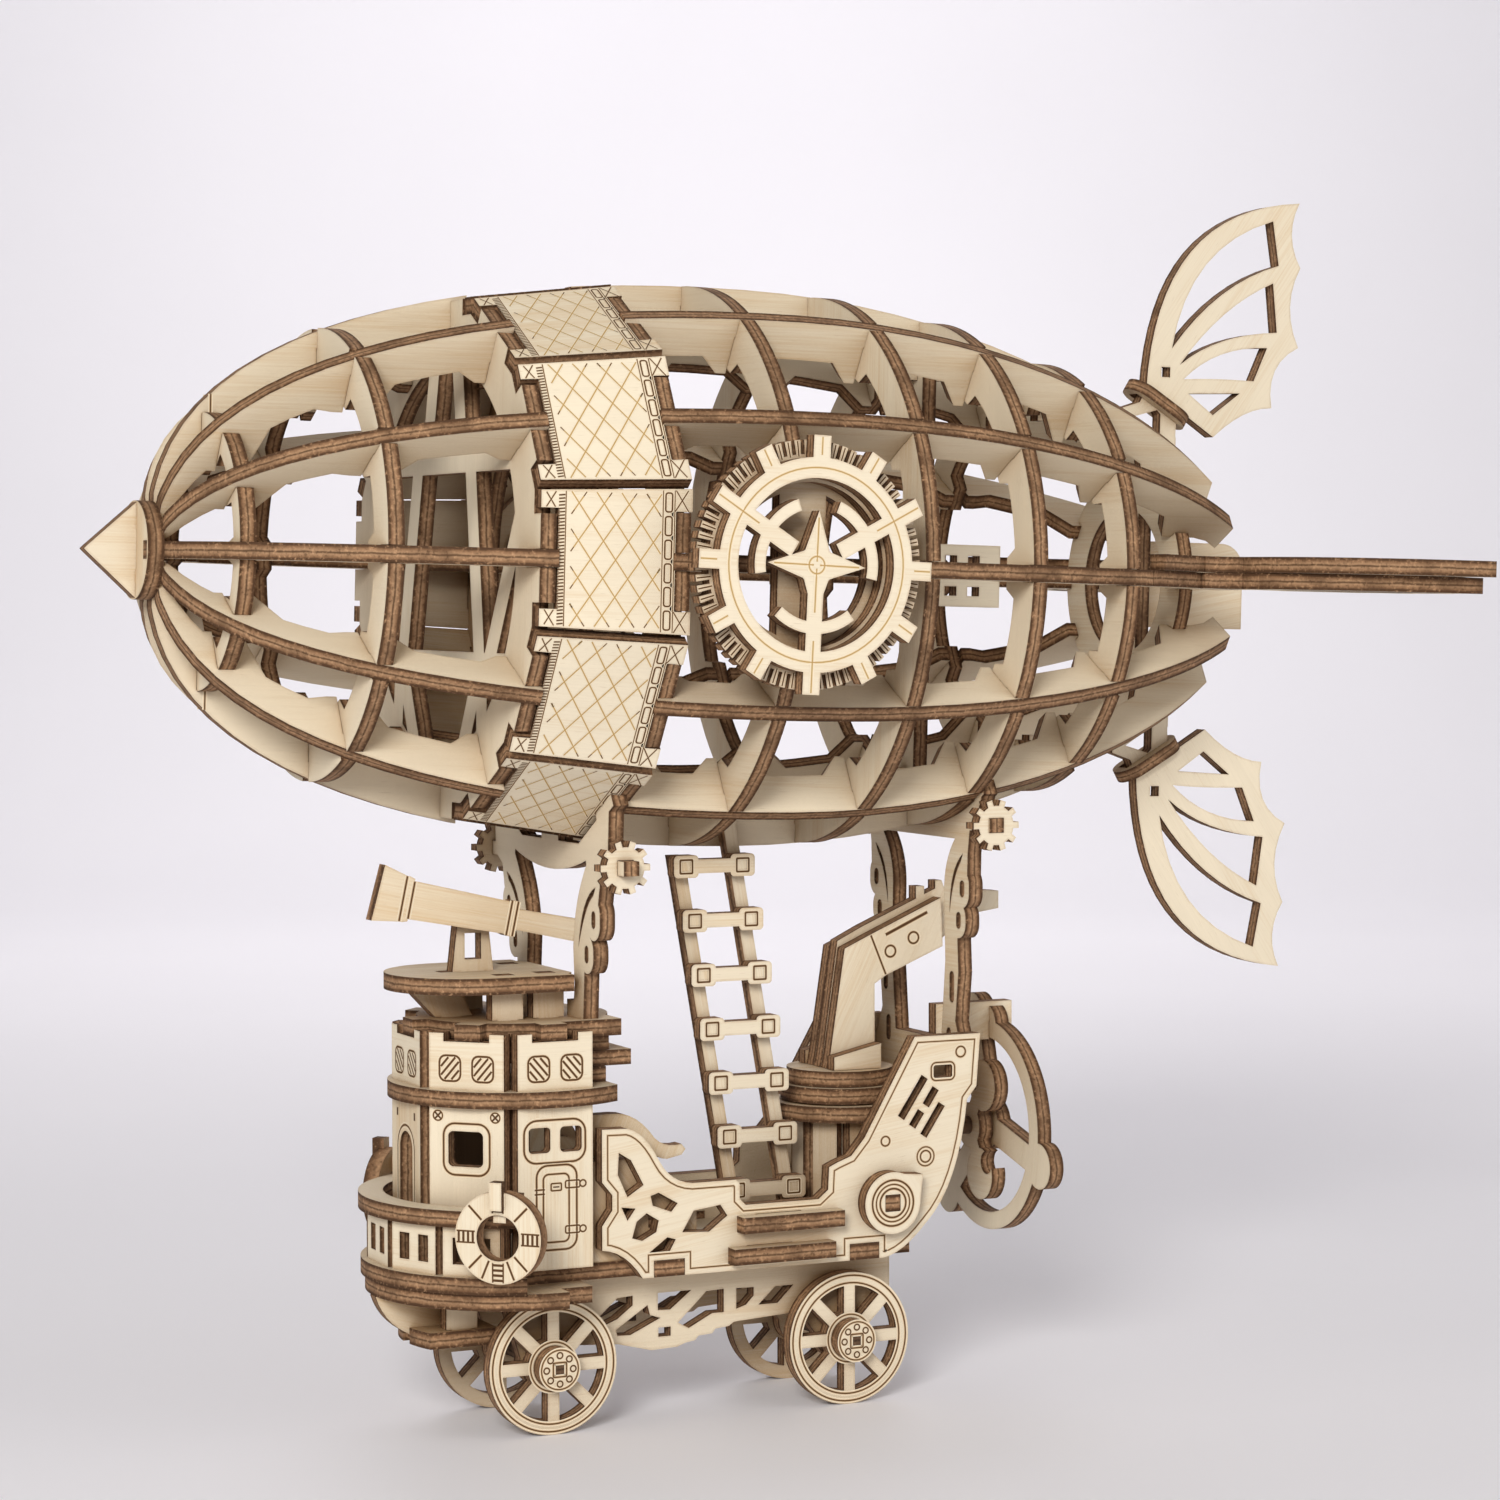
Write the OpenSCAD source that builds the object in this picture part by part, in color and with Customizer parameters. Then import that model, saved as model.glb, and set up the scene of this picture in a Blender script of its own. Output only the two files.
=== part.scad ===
// Laser-cut plywood airship on a wheeled gondola. Millimetres, nose to -X, +Z up.

/* [Sheet] */
// thickness of every plywood piece
ply = 3; // [2.8:0.05:3.1]
// free play on each side of a slot or tab
slip = 0.1; // [0.08:0.01:0.14]

/* [Hull] */
// radius of the hull at its widest station
hull_radius = 52.3; // [51:0.1:53]
// length from the widest station forward to where the outline closes
hull_front = 112.7; // [111.5:0.1:114]
// length from the widest station back to where the outline closes
hull_rear = 116; // [115:0.1:117.5]
// height of the hull axis above the table
hull_axis_z = 157.6; // [156:0.1:160]
// place of the widest station along X
hull_mid_x = -1.4; // [-2:0.1:-1.2]
// nose-up trim of the hull on its struts, degrees
hull_tilt = 1.6; // [1.2:0.1:2]
// depth of a stringer from its outer edge
stringer_depth = 7.5; // [7.2:0.1:8]
// radial width of a ring
ring_width = 7; // [6.5:0.1:7.5]
// hull station of the small nose ring
ring_1_x = -102; // [-103:0.5:-100]
// hull station of the second nose ring
ring_2_x = -81; // [-83:0.5:-79]
// hull station of the first ring behind the band
ring_3_x = -10; // [-11:0.5:-8]
// hull station of the second ring behind the band
ring_4_x = 16.3; // [14:0.1:18]
// hull station of the third ring behind the band
ring_5_x = 40.3; // [39:0.1:40.5]
// hull station of the last ring
ring_6_x = 63.9; // [62:0.1:65]
// hull station of the disc inside the tail
tail_disc_x = 88; // [87:0.1:88.5]
// hull station where the stringers end
tail_end_x = 98.6; // [98.4:0.1:99]
// radius of the disc behind the nose point
nose_disc_radius = 8.7; // [8.6:0.1:9]
// length of the nose point
nose_length = 9.3; // [8:0.1:11]

/* [Band] */
// hull station of the front edge of the panelled band
band_start = -57.3; // [-58:0.1:-56.5]
// length of the band along the hull
band_length = 26.7; // [26:0.1:27.5]

/* [Emblem] */
// hull station of the emblem centre
emblem_x = -11.8; // [-12.5:0.1:-11]
// outer radius of the tooth tips
emblem_radius = 22.4; // [22:0.1:22.8]

/* [Tail fins] */
// span of a fin beyond the hull
fin_span = 50.2; // [48:0.1:52]
// hull station of the fin tips
fin_tip_x = 125.4; // [124.5:0.1:126]

/* [Wheels] */
// diameter of the wheels
wheel_diameter = 25; // [24.5:0.1:25.4]
// distance between the middle planes of a wheel pair
wheel_track = 25.8; // [25.4:0.1:26.4]
// place of the front axle along X
axle_front_x = -43.3; // [-44:0.1:-42.5]
// place of the rear axle along X
axle_rear_x = 17.1; // [16:0.1:18]
// radius of the round part of an axle
axle_radius = 1.7; // [1.6:0.05:1.8]
// radial play of a turning shaft in its hole
bearing_play = 0.06; // [0.04:0.01:0.08]

/* [Gondola] */
// half width over the side panels
gondola_half = 20.8; // [20.4:0.1:21.2]
// height of the underside of the main deck
deck_z = 28.5; // [28.3:0.1:28.8]
// place of the tower centre along X
tower_x = -45.4; // [-45.8:0.1:-45]
// height of the underside of the ring deck
ring_deck_z = 61; // [60.5:0.1:61.5]
// height of the underside of the top deck
top_deck_z = 72.8; // [72.5:0.1:73.2]
// height of the underside of the lookout board
lookout_z = 81; // [80.6:0.1:81.5]
// height of the flat rail of the side panels
rail_z = 45.3; // [44.8:0.1:45.8]
// height of the top of the stern
stern_z = 69.7; // [69.2:0.1:70.2]
// radius of the gallery floor at the bow
gallery_radius = 28; // [27:0.1:30]
// clear width between the cabin front and the gallery panels
walkway = 2.6; // [2.4:0.1:4]
// height of the gallery panels
gallery_height = 9; // [8.6:0.1:9.4]

/* [Struts] */
// place of the middle plane of the front strut
strut_front_x = -36.2; // [-36.8:0.1:-35.8]
// place of the middle plane of the rear strut
strut_rear_x = 40.9; // [40.9:0.1:41.3]

/* [Crane and telescope] */
// place of the crane pivot along X
crane_x = 22.3; // [22:0.1:22.6]
// height of the underside of the crane platform
crane_platform_z = 52.9; // [52.6:0.1:53.2]
// tilt of the telescope tube, muzzle up, degrees
telescope_tilt = 11.8; // [10:0.1:13]

/* [Propeller] */
// height of the propeller shaft
shaft_z = 49; // [48.6:0.1:49.4]
// radius over the blade tips
blade_radius = 15.2; // [14:0.1:15.4]
// inner radius of the guard hoop
guard_radius = 17.2; // [16.6:0.1:17.4]

/* [Hidden] */
$fn = 48;
nose_x = -(hull_front - 0.7);
band_end = band_start + band_length;
lap = stringer_depth / 2;
lug_depth = stringer_depth + 3.5;
least_inner = ply * 2;
ring_xs = [ring_1_x, ring_2_x, band_start + ply / 2, band_end - ply / 2,
           ring_3_x, ring_4_x, ring_5_x, ring_6_x, tail_disc_x];
front_apothem = hull_r(band_start) - 0.5;
rear_apothem = hull_r(band_end) - 0.5;
band_slope = atan((rear_apothem - front_apothem) / band_length);
strut_slot_depth = 2;
strut_reach = 0.62;
deck_top = deck_z + ply;
side_inner = gondola_half - ply;
panel_half = side_inner * tan(22.5) - slip;
wheel_radius = wheel_diameter / 2;
square_end = axle_radius * 1.4;
side_front_x = tower_x + panel_half + 1.8;
gallery_edge = 1.6;
gallery_x = tower_x - gondola_half - walkway - ply - gallery_edge + gallery_radius;
lookout_top = lookout_z + ply;
telescope_x = tower_x - 8.2;
telescope_pin_z = lookout_top + 11;
telescope_gap = 0.3;
telescope_pin = 1.2;
platform_top = crane_platform_z + ply;
turntable_gap = 0.3;
turntable_top = platform_top + turntable_gap + 2 * ply + slip;
chassis_y = 6.5;
guard_x = 55.8;
propeller_x = guard_x - ply - 0.8;
guard_arm_angles = [75, 195, 315];
stern_x = 36;
rear_bar_z = 58.5;
landing_half = 14.3;
landing_reach = [4.2, 9.2, 4.8];
ladder_lean = 9.8;
ladder_width = 11.6;
rung_pitch = 10.2;
first_rung_z = 41;
rung_clear = 6;
ladder_y = -4.8;
fin_root_x = 94;
side_fin_share = 0.87;
side_fin_under = 0.79;
tail_bar = 11;
bracing_width = 5;
// ends of the leaning bars, as shares of the radius of the ring's opening
bracing_ends = [[[0.14, 1.08], [0.25, 0.5]], [[0.36, 0.5], [0.54, -0.5]], [[1.14, 0.4], [0.67, -0.5]],
                [[0.56, -0.5], [0.27, -1.08]], [[0.57, -0.5], [0.6, -1]]];

function hull_r(x) = x < 0
    ? hull_radius * pow(1 - pow(-x / hull_front, 2.2), 1 / 2.6)
    : hull_radius * pow(1 - pow(x / hull_rear, 2), 1 / 1.6);
function seat_r(s) = hull_r(s) - (s == tail_disc_x ? lug_depth - 0.8
    : s > band_start && s < band_end ? lap + 3.2 : lap);
function stringer_in(x) = max(least_inner, hull_r(x) - stringer_depth);
function panel_inner(x) = front_apothem - ply / cos(band_slope) + (x - band_start) * tan(band_slope);
function panel_outer(x) = front_apothem + (x - band_start) * tan(band_slope);
function rung_z(k) = first_rung_z + k * rung_pitch;
function eased(x0, x1, n) = [for (i = [0:n]) (x0 + x1) / 2 - (x1 - x0) / 2 * cos(180 * i / n)];
function reversed(v) = [for (i = [len(v) - 1:-1:0]) v[i]];
function turning(p) = [for (i = [0:len(p) - 1]) cross(p[i], p[(i + 1) % len(p)])] * [for (q = p) 1];
function curve(a, b, c, n) = [for (i = [0:n]) let (t = i / n)
    a * (1 - t) * (1 - t) + b * 2 * t * (1 - t) + c * t * t];
// height of the hull axis and hull radius above a place on the table
function axis_height(x) = hull_axis_z - (x - hull_mid_x) * tan(hull_tilt);
function low_station(x) = x - hull_mid_x + hull_radius * sin(hull_tilt);

// Placing helpers

module outline(points) {
    polygon(turning(points) < 0 ? reversed(points) : points);
}

module in_hull() {
    translate([hull_mid_x, 0, hull_axis_z]) rotate([0, hull_tilt, 0]) children();
}

module radial(angle) {
    rotate([angle, 0, 0]) linear_extrude(height = ply, center = true) children();
}

module across(x) {
    translate([x - ply / 2, 0, 0]) rotate([90, 0, 90]) linear_extrude(height = ply) children();
}

module upright(y) {
    translate([0, y + ply, 0]) rotate([90, 0, 0]) linear_extrude(height = ply) children();
}

module flat(z) {
    translate([0, 0, z]) linear_extrude(height = ply) children();
}

module both_sides() {
    children();
    mirror([0, 1, 0]) children();
}

module both_y() {
    children();
    mirror([1, 0]) children();
}

module both_y_flat() {
    children();
    mirror([0, 1]) children();
}

module loose_hole(x, y, length, width) {
    translate([x - slip, y - slip]) square([length + 2 * slip, width + 2 * slip]);
}

module slot(length, width) {
    square([length - width, width], center = true);
    translate([-(length - width) / 2, 0]) circle(d = width);
    translate([(length - width) / 2, 0]) circle(d = width);
}

module rounded(length, width, r) {
    square([length - 2 * r, width], center = true);
    square([length, width - 2 * r], center = true);
    for (sx = [-1, 1], sy = [-1, 1])
        translate([sx * (length / 2 - r), sy * (width / 2 - r)]) circle(r = r);
}

// Stringers

module lug(s, last) {
    outline([[s - 7, stringer_in(s - 7) + 1], [s - 7, stringer_in(s - 7)],
             [s - 3.6, hull_r(s) - lug_depth], [s + 3.6, hull_r(s) - lug_depth],
             [last, stringer_in(last)], [last, stringer_in(last) + 1], [s, stringer_in(s) + 2]]);
}

module stringer_blank(x0, x1) {
    xs = eased(x0, x1, 40);
    outline(concat([for (x = xs) [x, hull_r(x)]], [for (x = reversed(xs)) [x, stringer_in(x)]]));
    for (s = ring_xs)
        if (s > x0 + 6 && s < x1 - 3)
            lug(s, min(s + 7, x1));
    if (x0 < band_start)
        outline([[band_start, panel_inner(band_start) - 2],
            [band_start, hull_r(band_start) - lug_depth],
                 [band_end, hull_r(band_end) - lug_depth], [band_end, panel_inner(band_end) - 2]]);
}

module stringer_shape(x0, x1) {
    difference() {
        stringer_blank(x0, x1);
        for (s = ring_xs)
            translate([s - ply / 2 - slip, 0]) square([ply + 2 * slip, seat_r(s) + slip]);
        outline([[band_start + ply + slip, panel_inner(band_start + ply) - slip],
                 [band_start + ply + slip, hull_radius + 9], [band_end - ply - slip, hull_radius + 9],
                 [band_end - ply - slip, panel_inner(band_end - ply) - slip]]);
    }
}

module nose_tenon() {
    translate([nose_x - ply, least_inner]) square([ply + 0.5, 2]);
}

module fin_notch() {
    translate([fin_root_x, hull_r(fin_root_x + 1.5) - 3.2 - slip]) square([3 + 2 * slip, 12]);
}

// slab where a strut enters the hull, limited to the outer part of the stringers
module strut_slots(x) {
    difference() {
        translate([x - ply / 2 - 1.5 * slip, -strut_reach * hull_r(low_station(x)), 60])
            cube([ply + 3 * slip, 2 * strut_reach * hull_r(low_station(x)), hull_axis_z - 70]);
        in_hull() translate([low_station(x) - 10, 0, 0]) rotate([0, 90, 0])
            cylinder(r = hull_r(low_station(x)) - strut_slot_depth - slip, h = 20, $fn = 96);
    }
}

module stringers_vertical() {
    color("BurlyWood") difference() {
        in_hull() for (a = [90, 270]) radial(a) difference() {
            union() {
                stringer_shape(nose_x, tail_end_x);
                nose_tenon();
            }
            fin_notch();
        }
        strut_slots(strut_rear_x);
        front_tab_room();
        translate([ladder_x_at(ladder_peg_z), 0, ladder_peg_z])
            cube([2.6 + 4 * slip, ply * 3, 2.6 + 4 * slip], center = true);
    }
}

module stringers_side() {
    color("BurlyWood") in_hull() for (a = [0, 180]) radial(a) {
        stringer_shape(nose_x, ring_6_x + ply / 2 + 4);
        nose_tenon();
        translate([emblem_x - 3, hull_r(emblem_x) - 2]) square([6, 2 * ply + 2.3]);
    }
}

module stringers_upper() {
    color("BurlyWood") in_hull() for (a = [30, 60, 120, 150]) radial(a)
        stringer_shape(nose_x, tail_end_x);
}

module stringers_lower() {
    color("BurlyWood") difference() {
        in_hull() for (a = [210, 240, 300, 330]) radial(a) stringer_shape(nose_x, tail_end_x);
        strut_slots(strut_rear_x);
        front_tab_room();
    }
}

// Rings

module ring_slots(s) {
    for (k = [0:11])
        rotate(30 * k) translate([seat_r(s), -ply / 2 - slip]) square([20, ply + 2 * slip]);
}

module ring_plate(s) {
    r = hull_r(s);
    inner = r - ring_width;
    difference() {
        union() {
            difference() {
                circle(r = r, $fn = 96);
                circle(r = inner, $fn = 96);
            }
            for (k = [0:11])
                rotate(30 * k) outline([[inner + 1, -inner * 0.13], [inner - 3, -inner * 0.07],
                                        [inner - 3, inner * 0.07], [inner + 1, inner * 0.13]]);
        }
        ring_slots(s);
    }
}

module rings_front() {
    color("Tan") in_hull() {
        across(ring_1_x) intersection() {
            ring_plate(ring_1_x);
            circle(r = seat_r(ring_1_x) + 0.4, $fn = 96);
        }
        across(ring_2_x) ring_plate(ring_2_x);
    }
}

module rings_middle() {
    color("Tan") in_hull() for (s = [ring_3_x, ring_4_x]) across(s) ring_plate(s);
}

module rings_rear() {
    color("Tan") in_hull() {
        across(ring_6_x) ring_plate(ring_6_x);
        across(ring_5_x) {
            ring_plate(ring_5_x);
            difference() {
                square([7, 2 * (hull_r(ring_5_x) - ring_width + 1)], center = true);
                square([ply + 2 * slip, 6 + 2 * slip], center = true);
            }
        }
    }
}

module band_ring_plate(s) {
    apothem = panel_outer(s) - 0.3;
    seat = panel_inner(s - ply / 2) - slip;
    half = panel_inner(s) * tan(15);
    difference() {
        rotate(15) circle(r = apothem / cos(15), $fn = 12);
        circle(r = apothem - 11, $fn = 96);
        for (k = [0:11]) {
            rotate(30 * k) translate([seat_r(s), -ply / 2 - slip]) square([20, ply + 2 * slip]);
            rotate(30 * k) for (m = [0, 1]) mirror([0, m])
                translate([seat, half - 4.2]) square([20, 8]);
        }
    }
}

// straight bar between two points
module bar(a, b, width) {
    step = b - a;
    translate(a) rotate(atan2(step[1], step[0])) translate([0, -width / 2]) square([norm(step), width]);
}

// leaning bars and two cross bars that brace the front ring, drawn for the radius of its opening
module bracing(r) {
    for (m = [0, 1]) mirror([m, 0]) for (ends = bracing_ends) bar(r * ends[0], r * ends[1], bracing_width);
    translate([-1.1 * r, 0.43 * r]) square([2.2 * r, bracing_width]);
    translate([-1.1 * r, -0.57 * r]) square([2.2 * r, bracing_width - 1]);
}

module band_ring_front() {
    s = band_start + ply / 2;
    color("Tan") in_hull() across(s) {
        band_ring_plate(s);
        difference() {
            intersection() {
                bracing(panel_outer(s) - 11);
                circle(r = panel_outer(s) - 10.3, $fn = 96);
            }
            ring_slots(s);
        }
    }
}

module band_ring_rear() {
    s = band_end - ply / 2;
    color("Tan") difference() {
        in_hull() across(s) band_ring_plate(s);
        front_tab_room();
    }
}

module tail_disc() {
    r = seat_r(tail_disc_x) + 1;
    color("Tan") in_hull() across(tail_disc_x) difference() {
        circle(r = r, $fn = 96);
        ring_slots(tail_disc_x);
        square([ply + 2 * slip, 10 + 2 * slip], center = true);
        difference() {
            circle(r = r - ring_width, $fn = 96);
            square([tail_bar, 2 * r], center = true);
        }
    }
}

module tail_plates() {
    color("BurlyWood") in_hull() {
        radial(90) difference() {
            translate([ring_5_x + ply / 2 + slip, -6]) square([16, 12]);
            for (x = [4, 9], y = [-3, 3])
                translate([ring_5_x + ply / 2 + x, y - 0.9]) square([2.6, 1.8]);
        }
        radial(90) translate([ring_5_x - ply / 2, -3]) square([ply + 0.5, 6]);
        radial(90) {
            translate([tail_disc_x + ply / 2 + slip, -9]) square([24, 10]);
            translate([tail_disc_x + ply / 2 + slip, 0]) square([19, 8]);
            translate([tail_disc_x + ply / 2 + slip + 19, 3]) circle(r = 5);
            translate([tail_disc_x - ply / 2, -5]) square([ply + 0.5, 10]);
        }
    }
}

// Nose

module nose_disc() {
    color("Tan") in_hull() across(nose_x - ply / 2) difference() {
        circle(r = nose_disc_radius);
        square([ply + 2 * slip, 7 + 2 * slip], center = true);
        for (k = [0:3])
            rotate(90 * k) loose_hole(least_inner, -ply / 2, 2, ply);
    }
}

module nose_cone() {
    x = nose_x - ply;
    color("BurlyWood") in_hull() radial(90) {
        outline([[x, -8.4], [x - nose_length + 0.6, -0.6], [x - nose_length, 0],
                 [x - nose_length + 0.6, 0.6], [x, 8.4]]);
        translate([x - 0.5, -3.5]) square([ply + 0.4, 7]);
    }
}

// Band panels

module band_panel() {
    length = band_length / cos(band_slope);
    wide_f = panel_inner(band_start) * tan(15) - slip;
    wide_r = panel_inner(band_end) * tan(15) - slip;
    waist_f = ply + 3 * slip;
    waist_r = length - ply - slip - ply * sin(band_slope) - 0.2;
    translate([band_start, front_apothem, 0]) rotate([0, 0, band_slope]) translate([0, -ply, 0])
        rotate([-90, 0, 0]) linear_extrude(height = ply) difference() {
            outline([[0, -wide_f], [length, -wide_r], [length, wide_r], [0, wide_f]]);
            translate([-1, -wide_f + 3]) square([waist_f + 1, 2 * wide_f - 6]);
            translate([waist_r, -wide_r + 4]) square([length - waist_r + 1, 2 * wide_r - 8]);
        }
}

module band_panels() {
    color("Wheat") difference() {
        in_hull() for (k = [0:11]) rotate([30 * k, 0, 0]) band_panel();
        front_tab_room();
    }
}

// Tail fins

module fin_window(a, b, c, d, e) {
    outline(concat(curve(a, b, c, 8), curve(d, e, a, 8)));
}

function span_point(p, share) = [p[0], p[1] * share];

module fin_slit(share, a, b, c, d, e) {
    fin_window(span_point(a, share), span_point(b, share), span_point(c, share),
        span_point(d, share), span_point(e, share));
}

// scalloped fin, drawn from the hull surface outwards and shortened by a share
module fin_outline(share) {
    s = fin_span;
    t = fin_tip_x;
    tips = [[t - 0.6, s], [t, s - 13], [t, s - 29], [t - 6, s - 41.4], [t - 19.6, s - 47.8]];
    dips = [[t - 4.2, s - 6.5], [t - 4.4, s - 20.8], [t - 7.8, s - 32.6], [t - 12.4, s - 41.5]];
    edge = concat(
        curve([90, 11], [91.5, s - 3], tips[0], 16),
        curve(tips[0], dips[0], tips[1], 6), curve(tips[1], dips[1], tips[2], 6),
        curve(tips[2], dips[2], tips[3], 6), curve(tips[3], dips[3], tips[4], 6),
        [[99, 6.6], [97.4, 6.8]]);
    last = [[99.8, 10.8], [t - 13.6, s - 38.8], [t - 19.8, s - 43.4]];
    translate([0, hull_r(fin_root_x)]) difference() {
        outline([for (p = edge) span_point(p, share)]);
        fin_slit(share, [95.7, 19.6], [99, s - 10], [t - 6.8, s - 4], [t - 5.2, s - 12.8],
            [106, s - 17]);
        fin_slit(share, [97.6, 16.4], [107, s - 21.5], [t - 6.4, s - 16.4], [t - 5.2, s - 26.2],
            [106, s - 27.2]);
        fin_slit(share, [98.6, 13.6], [106, s - 29.6], [t - 7.4, s - 29.4], [t - 10.4, s - 36.2],
            [106, s - 36]);
        outline([for (p = last) span_point(p, share)]);
        translate([94.4, 14.8 * share]) square(2, center = true);
    }
}

module fin_foot() {
    xs = eased(84.4, 97, 10);
    root = hull_r(fin_root_x);
    difference() {
        outline(concat([[84.4, hull_r(84.4) + 1.4], [88.6, root + 8.6], [90, root + 11.4],
            [97.4, root + 7.2],
                        [97, root + 3.2]],
                       [for (x = reversed(xs)) [x, hull_r(x) + slip]]));
        outline([[87.4, hull_r(87.4) + 1.6], [92.6, root + 7.2], [93.4, root + 6.4],
            [93.4, hull_r(93.4) + 1.6]]);
    }
}

module fin_shape() {
    fin_outline(1);
    fin_foot();
    translate([fin_root_x + slip, hull_r(fin_root_x + 1.5) - 3]) square([3, 6]);
}

module wing_top() {
    color("Wheat") in_hull() radial(90) fin_shape();
}

module wing_bottom() {
    color("Wheat") in_hull() radial(270) fin_shape();
}

module side_wing() {
    x0 = ring_6_x + ply / 2 + 4 + 2 * slip;
    radial(0) {
        fin_outline(side_fin_under);
        fin_foot();
        stringer_shape(x0, tail_end_x);
        outline([[86, hull_r(86) - 1.6], [86, hull_r(86) + 1.4], [97, hull_r(97) + 1.4],
            [97, hull_r(97) - 1.6]]);
    }
    translate([0, 0, ply + slip]) radial(0) {
        fin_outline(side_fin_share);
        fin_foot();
        xs = eased(72, 84.8, 8);
        outline(concat([for (x = xs) [x, hull_r(x) + 1]],
            [for (x = reversed(xs)) [x, hull_r(x) - 4.5]]));
    }
}

module wing_left() {
    color("Wheat") in_hull() mirror([0, 1, 0]) side_wing();
}

module wing_right() {
    color("Wheat") in_hull() side_wing();
}

module wing_collars() {
    color("Tan") in_hull() for (a = [90, 270]) rotate([a, 0, 0])
        translate([93.2, hull_r(fin_root_x) + 8.4, 0]) rotate([0, 0, -30.6]) rotate([-90, 0, 0])
            linear_extrude(height = ply * 0.8, center = true) difference() {
                slot(14.8, 7.6);
                square([10.9 + 2 * slip, ply + 2 * slip], center = true);
            }
}

// Emblem, one on each side of the hull

module emblem_level(n) {
    y = hull_r(emblem_x) + 0.3 + n * (ply + slip / 2);
    in_hull() both_sides() translate([emblem_x, -y, 0]) rotate([90, 0, 0])
        linear_extrude(height = ply) children();
}

module arc_band(r_in, r_out, half_angle) {
    intersection() {
        difference() {
            circle(r = r_out);
            circle(r = r_in);
        }
        outline([[0, 0], [30, -30 * tan(half_angle)], [30, 30 * tan(half_angle)]]);
    }
}

module emblem_rings() {
    outer = emblem_radius - 3.8;
    color("Wheat") emblem_level(2) rotate(-1.5) {
        difference() {
            circle(r = outer, $fn = 96);
            circle(r = outer - 3.6, $fn = 96);
        }
        for (k = [0:11]) rotate(30 * k) translate([outer - 0.6, -1.65]) square([4.4, 3.3]);
        for (a = [30, 150, 270]) rotate(a) {
            translate([5, -1.5]) square([outer - 7.6, 3]);
            arc_band(9.8, 11.9, 40);
        }
        for (k = [0:3]) rotate(90 * k) outline([[9.4, 0], [2.4, -2.4], [2.4, 2.4]]);
        square(5, center = true);
    }
}

module emblem_backs() {
    color("Tan") emblem_level(1) difference() {
        circle(r = emblem_radius - 0.7, $fn = 96);
        circle(r = emblem_radius - 8, $fn = 96);
        for (k = [0:71])
            rotate(5 * k) translate([emblem_radius - 3.2, -0.35]) square([4, 0.7]);
    }
    color("Tan") emblem_level(0) difference() {
        union() {
            difference() {
                circle(r = emblem_radius - 5.5, $fn = 96);
                circle(r = emblem_radius - 9.4, $fn = 96);
            }
            square([9, 2 * emblem_radius - 14], center = true);
        }
        square([6 + 2 * slip, ply + 2 * slip], center = true);
    }
}

// Struts between gondola and hull

module front_tabs(grow) {
    x = low_station(strut_front_x);
    translate([0, axis_height(strut_front_x)]) for (a = [240, 270, 300]) rotate(a)
        translate([panel_inner(x) + 0.5 - grow, -4 - grow])
            square([ply + 1.5 + 2 * grow, 8 + 2 * grow]);
}

module front_tab_room() {
    for (m = [-1, 1]) translate([m * 1.5 * slip, 0, 0]) across(strut_front_x) front_tabs(2 * slip);
}

// round lobe on the outside of a strut leg
module link(y, z, length) {
    translate([y, z]) rotate(90) slot(length, 5.8);
}

module link_hole(y, z, length) {
    translate([y, z]) rotate(90) slot(length, 1.8);
}

module strut_front() {
    axis_z = axis_height(strut_front_x);
    flat_r = panel_outer(low_station(strut_front_x)) + 0.7;
    top = axis_z - flat_r;
    foot = top_deck_z + ply;
    color("BurlyWood") across(strut_front_x) {
        front_tabs(0);
        difference() {
            union() {
                both_y() {
                    outline(concat(curve([-17.2, top - 3.6], [-13, top - 9], [-11.8, top - 14], 8),
                                   [[-11, top - 19], [-11.6, foot + 6], [-11.2, foot + 3],
                                    [-8, foot + 3], [-8, foot], [-11.2, foot],
                                    [-11.2, foot - ply], [-14, foot - ply],
                                    [-14, foot], [-15.6, foot], [-16.2, top - 23],
                                    [-18.6, top - 16.8], [-22.4, top - 11], [-23.6, top - 6],
                                    [-26, top - 4.6], [-34.2, top - 4.6], [-34.2, top - 2],
                                       [-27, top - 2],
                                    [-27.6, top + 8], [-14, top + 8]]));
                    link(-20.4, top - 13.4, 7.6);
                    link(-17.4, top - 19.9, 7);
                }
                outline(concat([[-18, top + 8]],
                    curve([-18, top - 2.6], [0, top - 8.2], [18, top - 2.6], 12), [[18, top + 8]]));
            }
            translate([0, axis_z]) rotate(15) circle(r = flat_r / cos(15), $fn = 12);
            both_y() {
                link_hole(-20.4, top - 13.4, 3.2);
                link_hole(-17.2, top - 19.9, 3.2);
                fin_window([-13.4, top - 19], [-15, top - 9.4], [-21.4, top - 7.4],
                    [-20.4, top - 9], [-16.6, top - 11]);
            }
        }
    }
}

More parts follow.
